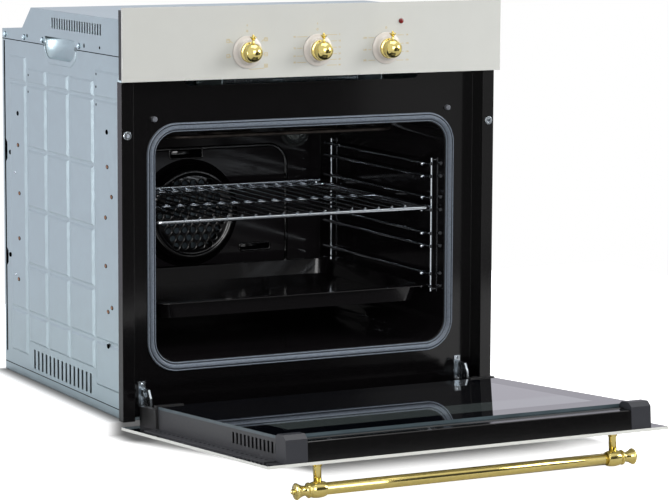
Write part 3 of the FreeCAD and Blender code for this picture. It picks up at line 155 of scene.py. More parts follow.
# directions in which a profile's height can point; a door's is outwards from its face
AXES = {
    "x": Matrix(((0, 0, 1), (1, 0, 0), (0, 1, 0))),
    "-x": Matrix(((0, 0, -1), (-1, 0, 0), (0, 1, 0))),
    "-y": Matrix(((1, 0, 0), (0, 0, -1), (0, 1, 0))),
    "z": Matrix.Identity(3),
    "door": Matrix(((1, 0, 0), (0, ALONG.y, -OUT.y), (0, ALONG.z, -OUT.z))),
}


def lathe(build, profile, centre, axis, segments=48, ring=False):
    """Turns a profile of (radius, height) in millimetres round an axis; a ring's profile is a closed loop."""
    turn = AXES[axis]
    rings = []
    for radius, height in profile:
        count = segments if radius > POINT else 1
        rings.append([
            build.verts.new(Vector(centre) + turn @ Vector((u, v, height)) * MM)
            for u, v in oval(0, 0, radius, radius, count)
        ])
    for low, high in zip(rings, rings[1:] + rings[:1] * ring):
        for i in range(segments):
            j = (i + 1) % segments
            corners = [low[i % len(low)], low[j % len(low)], high[j % len(high)], high[i % len(high)]]
            corners = list(dict.fromkeys(corners))
            if len(corners) > 2:
                build.faces.new(corners)
    for end in (rings[0], rings[-1]):
        if len(end) > 1 and not ring:
            build.faces.new(end)


def skin(build, rings, loop=False):
    """Covers a run of rings with faces: a loop's last ring meets its first, other runs get end caps."""
    for one, two in zip(rings, rings[1:] + rings[:1] * loop):
        for i in range(len(one)):
            j = (i + 1) % len(one)
            build.faces.new((one[i], one[j], two[j], two[i]))
    if not loop:
        build.faces.new(rings[0])
        build.faces.new(rings[-1])


def round_corners(low, high, radius):
    """Steps round an upright rectangle: the middle of each round corner, and a direction out of it."""
    for x, z, start in ((high.x - radius, high.z - radius, 0), (low.x + radius, high.z - radius, 90),
                        (low.x + radius, low.z + radius, 180), (high.x - radius, low.z + radius, 270)):
        for step in range(0, 91, CORNER_STEP):
            angle = math.radians(start + step)
            yield Vector((x, 0, z)), Vector((math.cos(angle), 0, math.sin(angle)))


def strip(build, low, high, radius, section):
    """Lays a strip round an upright rectangle; its section is (inwards, forwards) in millimetres."""
    skin(build, [
        [build.verts.new(spot + out * (radius - u * MM) + Vector((0, high.y - v * MM, 0))) for u, v in section]
        for spot, out in round_corners(low, high, radius)
    ], loop=True)


def block(build, corners, offset):
    """A thin plate: a flat outline and the same outline moved by an offset."""
    skin(build, [[build.verts.new(Vector(c) + Vector(offset) * far) for c in corners] for far in (0, 1)])


# ---------------------------------------------------------------- materials

DARKEST, LIGHTEST = 0.25, 0.75           # the part of a noise's range that most of a surface takes
# painted shade: slots whose share of open sky falls from OPEN to NARROW are painted darker, down to black
NARROW, OPEN = 0.4, 0.75                 # share of open sky in a dark slot, and on a free surface
GLASS_IOR = 1.52


def node(tree, kind, inputs=None, stops=(), **settings):
    """Adds a node, sets its settings and fills its inputs with values or with other nodes' outputs.

    stops are the two ends of a colour ramp, each a place and a linear colour.
    """
    made = tree.nodes.new(kind)
    for name, value in settings.items():
        setattr(made, name, value)
    for i, (place, shade) in enumerate(stops):
        made.color_ramp.elements[i].position = place
        made.color_ramp.elements[i].color = (*shade, 1)
    for name, value in (inputs or {}).items():
        socket = made.inputs[name]
        if isinstance(value, bpy.types.NodeSocket):
            tree.links.new(value, socket)
        else:
            socket.default_value = value
    return made


def blank(name):
    """A material with an empty node tree."""
    material = bpy.data.materials.new(name)
    material.use_nodes = True
    material.node_tree.nodes.clear()
    return material, material.node_tree


def shaded(colour, share):
    """A colour made darker or lighter by a share."""
    return [min(c * share, 1.0) for c in colour]


def worked(name, dark, light, rough, grain, relief=0.01, edge=0.6, stretch=(1, 1, 1), cells=False, shade_gap=0,
           **plain):
    """A surface whose colour and gloss drift over its grain, with fine relief and softened edges.

    grain, relief and edge are in millimetres; stretch lengthens the grain along an axis, and cells make it a
    crystal pattern. Slots narrower than the given width, in millimetres, get painted shade that darkens them inside.
    plain goes to the shader as it is.
    """
    material, tree = blank(name)
    place = node(tree, "ShaderNodeTexCoord").outputs["Object"]
    scale = [1 / (grain * MM * s) for s in stretch]
    place = node(tree, "ShaderNodeMapping", {"Vector": place, "Scale": scale}).outputs["Vector"]
    if cells:
        drift = node(tree, "ShaderNodeTexVoronoi", {"Vector": place, "Scale": 1.0}).outputs["Color"]
    else:
        drift = node(tree, "ShaderNodeTexNoise", {"Vector": place, "Scale": 1.0, "Detail": 4.0}).outputs["Fac"]
    gloss = node(tree, "ShaderNodeMapRange", {
        "Value": drift, "From Min": DARKEST, "From Max": LIGHTEST, "To Min": rough[0], "To Max": rough[1],
    }).outputs["Result"]
    normal = node(tree, "ShaderNodeBevel", {"Radius": edge * MM}, samples=4).outputs["Normal"]
    normal = node(tree, "ShaderNodeBump", {
        "Height": drift, "Distance": relief * MM, "Normal": normal,
    }).outputs["Normal"]
    tint = node(tree, "ShaderNodeValToRGB", {"Fac": drift},
                stops=((DARKEST, dark), (LIGHTEST, light))).outputs["Color"]
    if shade_gap:
        # painted shade: ambient occlusion darkens the colour in narrow slots and grooves
        room = node(tree, "ShaderNodeAmbientOcclusion", {"Distance": shade_gap * MM}, samples=8).outputs["AO"]
        room = node(tree, "ShaderNodeMapRange", {
            "Value": room, "From Min": NARROW, "From Max": OPEN,
        }).outputs["Result"]
        tint = node(tree, "ShaderNodeVectorMath", {0: tint, "Scale": room}, operation="SCALE").outputs["Vector"]
    shader = node(tree, "ShaderNodeBsdfPrincipled", {
        "Base Color": tint, "Roughness": gloss, "Normal": normal,
        **{key.replace("_", " "): value for key, value in plain.items()},
    })
    node(tree, "ShaderNodeOutputMaterial", {"Surface": shader.outputs["BSDF"]})
    return material


def make_materials(paint):
    """All materials of the oven, from the colours in the sidebar."""
    zinc, enamel, cream, brass = paint.zinc, paint.enamel, paint.cream, paint.brass
    return {
        # hot-dip galvanised sheet: cold blue-grey with a faint spangle of crystals about 7 mm across, and painted
        # shade darkening its narrow slots
        "zinc": worked("Galvanised steel, hot-dipped and pressed", shaded(zinc, 0.985), shaded(zinc, 1.015),
                       rough=(0.34, 0.39), grain=7, relief=0.0, edge=0.9, cells=True, shade_gap=5, Metallic=0.7),
        # vitreous enamel, sprayed and fired: deep black, glossy, with an orange-peel ripple of about 4 mm
        "enamel": worked("Black vitreous enamel, sprayed and fired", shaded(enamel, 0.8), shaded(enamel, 1.3),
                         rough=(0.1, 0.15), grain=4, relief=0.001, edge=0.9),
        # enamel inside the cavity: the frame's black painted four to five times lighter, as painted light standing in
        # for the light that reaches its walls, with weak and wavy reflections
        "cavity": worked("Black ground-coat enamel, fired", shaded(enamel, 4.0), shaded(enamel, 5.2),
                         rough=(0.07, 0.13), grain=30, relief=0.03, edge=1.6, Specular_IOR_Level=0.2),
        # the fan cover and its wall beads are fired once more, so the edges flash like a mirror
        "gloss": worked("Black cover-coat enamel, fired", shaded(enamel, 0.9), shaded(enamel, 1.4),
                        rough=(0.05, 0.09), grain=6, relief=0.002, edge=0.3, Specular_IOR_Level=0.8),
        # aluminised fan wheel: dull blue-grey metal
        "dull": worked("Aluminised steel, stamped", linear("#5A666D"), linear("#7E8A92"),
                       rough=(0.3, 0.42), grain=3, edge=0.4, Metallic=0.9),
        # bright zinc plating on stampings: a bluish shine broken by rolling marks, drawn coarse so that they show
        "plated": worked("Zinc-plated steel, stamped", linear("#AEB8C0"), linear("#D5DCE2"),
                         rough=(0.16, 0.3), grain=1.5, edge=0.5, stretch=(1, 1, 6), Metallic=1.0),
        # blue-passivated screws: the brightest metal on the case, with a cold sheen
        "screw": worked("Steel screws, blue zinc", linear("#B9CDDA"), linear("#DCEBF5"),
                        rough=(0.18, 0.26), grain=2, edge=0.4, Metallic=0.7),
        # bright nickel-chrome on drawn wire: mirror-like with lengthwise drawing marks, drawn coarse so that they show
        "chrome": worked("Chrome-plated wire, drawn and welded", linear("#B9C0C8"), linear("#DDE2E8"),
                         rough=(0.1, 0.2), grain=1.2, relief=0.004, edge=0.3, stretch=(1, 8, 1), Metallic=1.0),
        # nickel-alloy heater sheath: dull brown-grey from its oxide skin
        "heater": worked("Heater tube alloy, oxidised", linear("#2E2A28"), linear("#4A4440"),
                         rough=(0.35, 0.5), grain=9, edge=0.2, Metallic=0.8),
        # extruded silicone: satin grey, faintly clouded, with painted shade down in its grooves
        "seal": worked("Silicone seal, extruded", shaded(paint.seal, 0.85), shaded(paint.seal, 1.12),
                       rough=(0.24, 0.34), grain=2, edge=0.2, shade_gap=3),
        # lacquer fired on the back of float glass: even cream under a hard polished surface
        "cream_glass": worked("Float glass, cream lacquer behind", shaded(cream, 0.985), shaded(cream, 1.01),
                              rough=(0.09, 0.12), grain=40, relief=0.0, edge=0.5, Coat_Weight=0.3,
                              Coat_Roughness=0.03),
        # glass-fibre nylon, moulded: black with a satin bloom of fibres, drawn coarse so that it shows
        "black_plastic": worked("Black nylon, moulded", linear("#0A0A0B"), linear("#131314"),
                                rough=(0.32, 0.45), grain=0.8),
        # stoved black rail: as deep and glossy as the frame behind it
        "black_rail": worked("Black steel, stove enamelled", linear("#040404"), linear("#080708"),
                             rough=(0.08, 0.13), grain=3, relief=0.002, edge=0.7, Specular_IOR_Level=0.42),
        # painted shade for the gaps, seams, holes and slots of the case: black with no shine at all
        "gap_shade": worked("Black foam, die-cut", linear("#020203"), linear("#060607"),
                       rough=(0.9, 0.97), grain=1, relief=0.05, edge=0.1, Specular_IOR_Level=0.0),
        # slate nylon, moulded: cool dark grey with a spark-eroded texture, drawn coarse so that it shows
        "slate": worked("Slate nylon, moulded", linear("#15171E"), linear("#1D1F27"),
                        rough=(0.4, 0.52), grain=0.6, relief=0.02, edge=0.8),
        # silicone bumpers, moulded: mid grey with a soft shine on their domes
        "rubber": worked("Grey silicone, moulded", linear("#62656C"), linear("#787B82"),
                         rough=(0.25, 0.35), grain=2, edge=0.8),
        # grey stoved paint on rolled channel: flat dark grey
        "grey_sheet": worked("Grey steel, stove enamelled", linear("#28292C"), linear("#323337"),
                             rough=(0.35, 0.46), grain=3, relief=0.008, edge=0.5),
        # urea plastic, moulded: warm ivory with a soft polish
        "ivory": worked("Ivory urea plastic, moulded", shaded(paint.ivory, 0.97), shaded(paint.ivory, 1.03),
                        rough=(0.2, 0.28), grain=12, relief=0.004, edge=0.4),
        # lacquered brass, turned and polished: mirror-like with a hint of turning marks
        "brass": worked("Brass, turned and polished", shaded(brass, 0.92), shaded(brass, 1.05),
                        rough=(0.06, 0.12), grain=6, relief=0.002, edge=0.3, Metallic=1.0),
        # gold ceramic print on glass: flat and a little matt
        "gold_print": worked("Gold ceramic ink, screen printed", shaded(paint.ink, 0.9), shaded(paint.ink, 1.08),
                             rough=(0.4, 0.55), grain=0.7, relief=0.0, edge=0.05, Metallic=0.3),
        # red polycarbonate lens: clear colour over a dark chamber
        "red_lens": worked("Red polycarbonate, moulded", linear("#5A0A08"), linear("#8E1712"),
                           rough=(0.12, 0.2), grain=2, relief=0.005, edge=0.3),
        # glazed steatite: chalk white with a thin gloss
        "porcelain": worked("Steatite, glazed", linear("#D8D4CB"), linear("#EAE7E0"),
                            rough=(0.2, 0.3), grain=5, edge=0.4),
        # spun mineral wool: pale tan fibres with deep soft relief
        "wool": worked("Mineral wool, needled", linear("#9A8F70"), linear("#D6CBAA"),
                       rough=(0.85, 0.95), grain=3, relief=1.2, edge=0.5, stretch=(1, 3, 1)),
        # the wool seen in the small slots of the case: copper brown with a dull glint, on a plate set to one side of
        # each slot so that its lit side is painted light and the slot's other side painted shade
        "lit_wool": worked("Copper-tinted foil, pressed", linear("#6B4630"), linear("#B4835E"),
                       rough=(0.35, 0.5), grain=1, relief=0.02, edge=0.2, Metallic=0.5),
        # borosilicate lens over the lamp: clear with a pressed ripple
        "lamp_glass": worked("Borosilicate glass, pressed", linear("#C9D2D4"), linear("#E6ECED"),
                             rough=(0.05, 0.1), grain=6, relief=0.05, edge=0.4, Transmission_Weight=0.9, IOR=1.47),
        # stainless flecks in the tray's enamel: black with fine specks about 1 mm across
        "flecked": worked("Flecked enamel, fired", shaded(enamel, 1.6), shaded(enamel, 2.6),
                          rough=(0.08, 0.15), grain=1.2, relief=0.006, edge=0.8),
        "inner_glass": inner_glass(paint),
        "outer_glass": outer_glass(paint),
    }


def between(tree, value, start, end, soft=0.4 * MM):
    """One where a value lies between two limits, falling to zero over a short way."""
    rise, fall = (
        node(tree, "ShaderNodeMapRange", {"Value": value, "From Min": low, "From Max": high}).outputs["Result"]
        for low, high in ((start, start + soft), (end, end - soft))
    )
    return node(tree, "ShaderNodeMath", {0: rise, 1: fall}, operation="MULTIPLY").outputs[0]


def facing(tree, direction, least=0.5):
    """One on the faces that look along a direction, zero on the others."""
    normal = node(tree, "ShaderNodeTexCoord").outputs["Normal"]
    share = node(tree, "ShaderNodeVectorMath", {0: normal, 1: direction}, operation="DOT_PRODUCT").outputs["Value"]
    return node(tree, "ShaderNodeMath", {0: share, 1: least}, operation="GREATER_THAN").outputs[0]


def inner_glass(paint):
    """Toughened float glass with a black ceramic border printed round a clear window."""
    # at a low angle it mirrors the oven; the window mirrors more than the print, and its far end looks into the door
    material, tree = blank("Toughened float glass, black ceramic border")
    place = node(tree, "ShaderNodeTexCoord").outputs["Object"]
    side = node(tree, "ShaderNodeSeparateXYZ", {"Vector": place}).outputs["X"]
    along = node(tree, "ShaderNodeVectorMath", {0: place, 1: on_door(0, 0, 0)}, operation="SUBTRACT").outputs["Vector"]
    along = node(tree, "ShaderNodeVectorMath", {0: along, 1: ALONG}, operation="DOT_PRODUCT").outputs["Value"]
    across = between(tree, side, -paint.window_half, paint.window_half)
    window = between(tree, along, paint.window_start, paint.window_end)
    window = node(tree, "ShaderNodeMath", {0: across, 1: window}, operation="MULTIPLY").outputs[0]
    depth = between(tree, along, paint.window_depth, paint.window_end, soft=6 * MM)
    depth = node(tree, "ShaderNodeMath", {0: across, 1: depth}, operation="MULTIPLY").outputs[0]
    # wiping leaves smears about 60 mm across
    smear = node(tree, "ShaderNodeTexNoise", {"Vector": place, "Scale": 1 / (60 * MM), "Detail": 3.0}).outputs["Fac"]
    shader = node(tree, "ShaderNodeBsdfPrincipled", {
        "Base Color": node(tree, "ShaderNodeValToRGB", {"Fac": depth},
                           stops=((0.0, paint.border), (1.0, paint.window))).outputs["Color"],
        "Roughness": node(tree, "ShaderNodeMapRange", {
            "Value": smear, "To Min": 0.01, "To Max": 0.03}).outputs["Result"],
        "IOR": GLASS_IOR,
        "Normal": node(tree, "ShaderNodeBevel", {"Radius": 0.8 * MM}, samples=4).outputs["Normal"],
        "Coat Weight": node(tree, "ShaderNodeMapRange", {
            "Value": window, "To Min": 0.1, "To Max": 0.5}).outputs["Result"],
        "Coat Roughness": 0.02,
    })
    # ground edges scatter the light that runs inside the pane: a pale blue-green line
    edge = node(tree, "ShaderNodeBsdfPrincipled", {
        "Base Color": node(tree, "ShaderNodeValToRGB", {"Fac": smear},
                           stops=((0.3, linear("#3A474D")), (0.7, linear("#4C5B62")))).outputs["Color"],
        "Roughness": 0.35, "IOR": GLASS_IOR,
    })
    both = node(tree, "ShaderNodeMixShader", {0: facing(tree, OUT), 1: edge.outputs[0], 2: shader.outputs[0]})
    node(tree, "ShaderNodeOutputMaterial", {"Surface": both.outputs[0]})
    return material


def outer_glass(paint):
    """Float glass with cream lacquer to the kitchen and a black backing to the inside of the door."""
    # the inside is a black mirror; the face and the ground edge show cream, which drifts over about 40 mm
    material, tree = blank("Float glass, cream lacquer, black backing")
    place = node(tree, "ShaderNodeTexCoord").outputs["Object"]
    drift = node(tree, "ShaderNodeTexNoise", {"Vector": place, "Scale": 1 / (40 * MM)}).outputs["Fac"]
    sides = []
    for tint, dark, light, rough, coat in ((paint.cream, 0.985, 1.01, 0.1, 0.3), (paint.border, 0.8, 1.1, 0.06, 0.0)):
        sides.append(node(tree, "ShaderNodeBsdfPrincipled", {
            "Base Color": node(tree, "ShaderNodeValToRGB", {"Fac": drift},
                               stops=((0.3, shaded(tint, dark)), (0.7, shaded(tint, light)))).outputs["Color"],
            "Roughness": rough, "IOR": GLASS_IOR, "Coat Weight": coat,
        }).outputs["BSDF"])
    both = node(tree, "ShaderNodeMixShader", {0: facing(tree, OUT), 1: sides[0], 2: sides[1]})
    node(tree, "ShaderNodeOutputMaterial", {"Surface": both.outputs[0]})
    return material


# every CAD node that stays in view, by material
FINISHES = {
    "zinc": ("base_tray", "left_side_panel", "right_side_panel", "rear_panel", "top_housing", "blower_housing"),
    "enamel": ("front_frame",),
    "cavity": ("cavity_box",),
    "gloss": ("fan_cover",),
    "dull": ("convection_impeller",),
    "flecked": ("baking_tray",),
    "screw": ("case_screws",),
    "plated": ("hinge_receivers", "hinge_arms", "left_hinge_latch", "right_hinge_latch", "hinge_channels",
               "hinge_pins", "hinge_rods", "fan_motor", "blower_motor", "blower_rotor",
               "cabinet_bushes", "handle_screws", "function_spindle", "timer_spindle", "thermostat_spindle"),
    "chrome": ("side_racks", "wire_shelf"),
    "heater": ("grill_element", "base_element"),
    "cream_glass": ("fascia_glass",),
    "outer_glass": ("door_outer_glass",),
    "inner_glass": ("door_inner_glass",),
    "black_plastic": ("fascia_carrier", "glass_holders", "control_switches", "terminal_box"),
    "black_rail": ("door_top_rail", "door_bottom_rail"),
    "slate": ("door_corner_caps",),
    "rubber": ("door_bumpers",),
    "grey_sheet": ("door_side_channels",),
    "red_lens": ("pilot_lamp",),
    "porcelain": ("lamp_socket",),
    "lamp_glass": ("lamp_lens", "lamp_bulb"),
}


# ---------------------------------------------------------------- properties

def colour(name, description, text):
    """A colour that can be changed in the sidebar."""
    return bpy.props.FloatVectorProperty(name=name, description=description, subtype="COLOR", size=3, min=0, max=1,
                                         default=linear(text))


def length(name, description, value):
    """A length that can be changed in the sidebar, given in millimetres."""
    return bpy.props.FloatProperty(name=name, description=description, unit="LENGTH", subtype="DISTANCE", min=0,
                                   default=value * MM)


def power(name, description, value):
    """A lamp's power that can be changed in the sidebar, in watts."""
    return bpy.props.FloatProperty(name=name, description=description, unit="POWER", min=0, default=value)


class OvenPaint(bpy.types.PropertyGroup):
    """Colours of the oven and the print on its inner door glass."""
    zinc: colour("Zinc", "Galvanised case", "#AFBFC6")
    enamel: colour("Enamel", "Front frame and cavity", "#080708")
    cream: colour("Cream", "Fascia and outer door glass", "#D6D7D2")
    ivory: colour("Ivory", "Knob skirts", "#DED7CF")
    brass: colour("Brass", "Knobs and handle", "#D6C47C")
    ink: colour("Ink", "Print on the fascia", "#CCB154")
    seal: colour("Seal", "Door seal", "#828C99")
    border: colour("Border", "Printed border of the inner glass", "#080A10")
    window: colour("Window", "Inside of the door behind the clear part of the glass", "#4C5454")
    window_half: length("Window half width", "From the middle of the inner glass to its printed border", 229)
    window_start: length("Window start", "From the hinge edge to the clear part of the inner glass", 112)
    window_depth: length("Window depth", "From the hinge edge to where the inside of the door shows", 308)
    window_end: length("Window end", "From the hinge edge to the border at the top end", 393)


class OvenDetail(bpy.types.PropertyGroup):
    """Sizes of the details that are added to the CAD model."""
    numeral: length("Numeral", "Height of the dial numerals", 3.4)
    stroke: length("Stroke", "Width of the printed lines", 0.45)
    small_slot: length("Small slot", "Half height of a small slot in the side panels", 3.1)
    rivet: length("Rivet", "Radius of a rivet head", 2.6)
    rib: length("Rib", "Height of the ribs along the seal", 0.4)
    spring_wire: length("Spring wire", "Thickness of the hinge springs' wire", 1.3)
    tuft: length("Tuft", "Depth of the hollows in the wool", 2.0)


class OvenStage(bpy.types.PropertyGroup):
    """Floor, lights and camera."""
    floor_size: length("Floor", "Width of the floor", 2400)
    key: power("Key light", "Power of the right-hand softbox", 73)
    fill: power("Fill light", "Power of the left-hand softbox", 40)
    top: power("Top light", "Power of the overhead softbox", 45)
    front: power("Front light", "Power of the softbox before the mouth", 72)
    lens: bpy.props.FloatProperty(name="Lens", description="Focal length on a 36 mm wide sensor", unit="CAMERA",
                                  default=156.42)


# ---------------------------------------------------------------- operators

class OVEN_OT_finishes(bpy.types.Operator):
    """Gives every CAD node its finish"""
    bl_idname = "oven.finishes"
    bl_label = "Finishes"

    def execute(self, context):
        MADE.update(make_materials(context.scene.oven_paint))
        for key, names in FINISHES.items():
            for name in names:
                for entry in NODES[name].material_slots:
                    entry.material = MADE[key]
        return {"FINISHED"}


class OVEN_OT_knobs(bpy.types.Operator):
    """Turns the three knobs: a flared skirt, and a ball with its ring and pointer"""
    bl_idname = "oven.knobs"
    bl_label = "Knobs"

    def execute(self, context):
        low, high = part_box("timer_knob_skirt")
        rim, bore = (high.x - low.x) / 2 / MM, 3.1
        # radii of the ball and of its neck, and how far the ball's middle stands off the fascia
        ball, neck, proud = 13.5, 11.8, 20
        skirt = [(bore, 0.6), (rim - 0.4, 0.6), (rim, 1.0), (rim, 1.7), (rim - 0.4, 2.1)]
        skirt += eased([(rim - 1.0, 2.4), (rim - 2.6, 3.1), (rim - 4.4, 4.2), (rim - 5.8, 5.8), (rim - 6.6, 8.0)])
        skirt += [(rim - 7.0, 8.55), (bore, 8.55)]
        grip = [(bore, 8.7), (13.9, 8.7), (14.3, 8.9), (14.5, 9.4), (14.5, 11.9), (14.3, 12.4), (13.9, 12.65),
                (12.4, 12.8)]
        start, turns = math.asin(neck / ball), 26
        for i in range(turns):
            angle = start + (math.pi - start) * i / turns
            grip.append((ball * math.sin(angle), proud - ball * math.cos(angle)))
        grip.append((0, proud + ball))
        pointer = eased([(3.2, 12.6), (2.3, 14.4), (1.9, 16.2), (2.2, 17.8), (3.5, 19.6), (4.8, 21.6)], 4)
        pointer += [(4.9, 22.2), (4.4, 22.5), (2.8, 22.2)]
        pointer += eased([(1.5, 22.4), (2.0, 23.2), (1.6, 24.4), (0.8, 25.2), (0, 25.5)], 4)
        for name in KNOBS:
            x, _, z = middle(f"{name}_spindle")
            build = bmesh.new()
            lathe(build, skirt, (x, FRONT, z), "-y", 72)
            piece(f"{name}_skirt", build, "ivory", f"{name}_knob", f"{name}_knob_skirt", slot="cream_plastic")
            build = bmesh.new()
            lathe(build, grip, (x, FRONT, z), "-y", 56)
            lathe(build, pointer, (x, FRONT - proud * MM, z), "z", 32)
            piece(f"{name}_ball", build, "brass", f"{name}_knob", f"{name}_knob_grip", slot="brass")
        return {"FINISHED"}


class OVEN_OT_handle(bpy.types.Operator):
    """Turns the handle: its bar, its two posts, and the collars with their bell-shaped ends"""
    bl_idname = "oven.handle"
    bl_label = "Handle"

    def execute(self, context):
        bar = middle("handle_bar")
        # from a post's middle to the tip, to the end of the bar in its collar, and to the top of the post
        tip, socket, saddle = 38.4, 9.6, 9
        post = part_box("handle_finials")[1].x - tip * MM
        profile = [(7.9, -10.2), (8.6, -10.6), (9.4, -10.2)]
        profile += eased([(9.5, -9.4), (10.4, -6.4), (10.9, 0), (10.4, 6.4), (9.5, 9.4)], 6)
        profile += [(8.4, 10.4), (8.0, 11.2), (8.3, 11.6), (9.6, 11.9), (10.0, 12.5), (10.0, 13.9), (9.6, 14.5),
                    (8.4, 14.8)]
        profile += eased([(7.6, 15.4), (6.6, 18.0), (7.0, 22.0), (8.6, 26.0), (10.6, 29.4)], 5)
        profile += [(10.9, 30.2), (10.8, 30.9), (10.2, 31.6), (6.0, 32.6), (4.0, 33.0)]
        profile += eased([(3.4, 33.4), (3.8, 35.4), (2.6, 37.2), (1.0, 38.1), (0, tip)], 4)
        build = bmesh.new()
        for sign, axis in ((1, "x"), (-1, "-x")):
            lathe(build, profile, (sign * post, bar.y, bar.z), axis, 56)
        piece("handle_ends", build, "brass", "door", "handle_finials", slot="brass")
        span = post / MM - socket
        build = bmesh.new()
        lathe(build, [(7.6, -span), (8.0, -span + 0.4), (8.0, 0), (8.0, span - 0.4), (7.6, span)], bar, "x", 64)
        piece("handle_tube", build, "brass", "door", "handle_bar", slot="brass")
        stand = (bar - on_door(0, 0, 0)).dot(-OUT) / MM
        along = (bar - on_door(0, 0, 0)).dot(ALONG)
        foot = [(2.6, 0), (8.5, 0), (8.6, 0.6), (8.2, 1.4), (6.6, 3.6), (5.6, 5.0), (5.25, 6.2),
                (5.25, stand - saddle), (2.6, stand - saddle)]
        build = bmesh.new()
        for sign in (-1, 1):
            lathe(build, foot, on_door(sign * post, along, 0), "door", 40, ring=True)
        piece("handle_feet", build, "brass", "door", "handle_posts", slot="brass")
        return {"FINISHED"}


class OVEN_OT_seal(bpy.types.Operator):
    """Extrudes the ribbed door seal round the mouth"""
    bl_idname = "oven.seal"
    bl_label = "Seal"

    def execute(self, context):
        def ridge(start, width, foot, rise, count, blunt, rib=0):
            """A round ridge across the strip, in millimetres, with ribs on it."""
            return [(start + width * t / count,
                     foot + rise * math.sin(math.pi * t / count) ** blunt + rib * math.cos(math.pi * t / 4))
                    for t in range(1, count)]

        # across the strip: a round lip, a wide ribbed bulb, a deep groove and a thin inner bead
        lip = ridge(0, 3.0, 1.4, 2.4, 8, 0.7)
        bulb = ridge(3.6, 5.6, 2.2, 3.3, 32, 0.6, context.scene.oven_detail.rib / MM)
        bead = ridge(10.9, 1.7, 1.2, 1.8, 8, 0.7)
        section = [(0, 0), (0, 1.4), *lip, (3.1, 1.0), (3.5, 1.0), *bulb, (9.4, 0.5), (10.7, 0.5), *bead,
                   (12.7, 1.0), (12.7, 0)]
        corner = 45 * MM
        build = bmesh.new()
        strip(build, *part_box("door_seal"), corner, section)
        piece("ribbed_seal", build, "seal", "case", "door_seal", slot="seal_grey")
        return {"FINISHED"}


class OVEN_OT_rear_wall(bpy.types.Operator):
    """Rounds the fan cover's rim, collars its holes, borders and backs the vents beside it, and stops the rungs"""
    bl_idname = "oven.rear_wall"
    bl_label = "Rear wall"

    # left, right, bottom and top of the two vents, in millimetres from the fan's middle
    vents = ((-29.5, 23.5, 87, 99), (90, 140, -63, -55))

    def execute(self, context):
        low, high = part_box("fan_cover")
        fan = Vector((0, high.y, (low.z + high.z) / 2))
        rim, depth = (high.x - low.x) / 2 / MM, (high.y - low.y) / MM

        def on_wall(x, z, behind=0):
            """A point of the rear wall, in millimetres from the fan's middle."""
            return Vector((x * MM, fan.y + behind * MM, fan.z + z * MM))

        build = bmesh.new()
        # a round bead stands proud of the perforated disc, then falls to the flange on the wall
        dish = eased([(rim - 22, depth), (rim - 20, depth + 0.5), (rim - 16.5, depth + 2.2), (rim - 12.5, depth + 1.6),
                      (rim - 9, depth - 1.6), (rim - 7.2, depth - 7), (rim - 6.0, 7.4), (rim - 3.8, 4.2),
                      (rim - 0.6, 2.4), (rim + 2.4, 0.9)], 5)
        lathe(build, [*dish, (rim + 2.4, 0.1), (rim - 7.4, 0.1), (rim - 17, depth - 1)], fan, "-y", 72, ring=True)
        # each hole is lightly countersunk, which gives it a bright crescent
        pitch, hole, rows = 14, 4.7, 4
        collar = [(hole, 0), (hole, 0.1), (hole + 1.7, 0.75), (hole + 2.0, 0.75), (hole + 2.2, 0)]
        for q in range(-rows, rows + 1):
            for r in range(-rows, rows + 1):
                if abs(q + r) <= rows:
                    spot = Vector(((q + r / 2) * pitch * MM, low.y, fan.z + r * math.sqrt(0.75) * pitch * MM))
                    lathe(build, collar, spot, "-y", 20, ring=True)
        # a rolled border lies round each vent, and the back of its air chamber closes it behind the wall
        roll = [(0, 0), (0.3, 1.0), (1.2, 1.6), (2.4, 1.5), (3.2, 0.8), (3.2, 0)]
        border, margin, chamber = 3, 14, 12
        for left, right, bottom, top in self.vents:
            strip(build, on_wall(left - border, bottom - border), on_wall(right + border, top + border), 5 * MM, roll)
            block(build, [on_wall(x, z, chamber) for x, z in (
                (left - margin, bottom - margin), (right + margin, bottom - margin),
                (right + margin, top + margin), (left - margin, top + margin))], (0, 0.6 * MM, 0))
        # a low bead is pressed round the whole wall
        bead = [(0, 0), (0.8, 0.8), (2.2, 1.3), (4.0, 1.3), (5.4, 0.8), (6.2, 0)]
        half, floor, crown, corner = 173 * MM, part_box("cavity_box")[0].z + 40 * MM, 339 * MM, 34 * MM
        strip(build, Vector((-half, fan.y, floor)), Vector((half, fan.y, crown)), corner, bead)
        piece("fan_surround", build, "gloss", "case", slot="black_enamel")
        # a button on every rung behind the front upright stops a shelf
        stop = eased([(0, -2.3), (1.7, -2.0), (2.8, -1.0), (3.2, 0), (2.8, 1.0), (1.7, 2.0), (0, 2.3)], 3)
        side, y, drop = RUNG_SIDE - 2.6 * MM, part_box("side_racks")[0].y + 23 * MM, 2.2
        build = bmesh.new()
        for sign in (-1, 1):
            for rise in RUNGS:
                lathe(build, stop, (sign * side, y, (rise - drop) * MM), "-y", 16)
        piece("rung_stops", build, "chrome", "case", slot="chrome_wire")
        return {"FINISHED"}


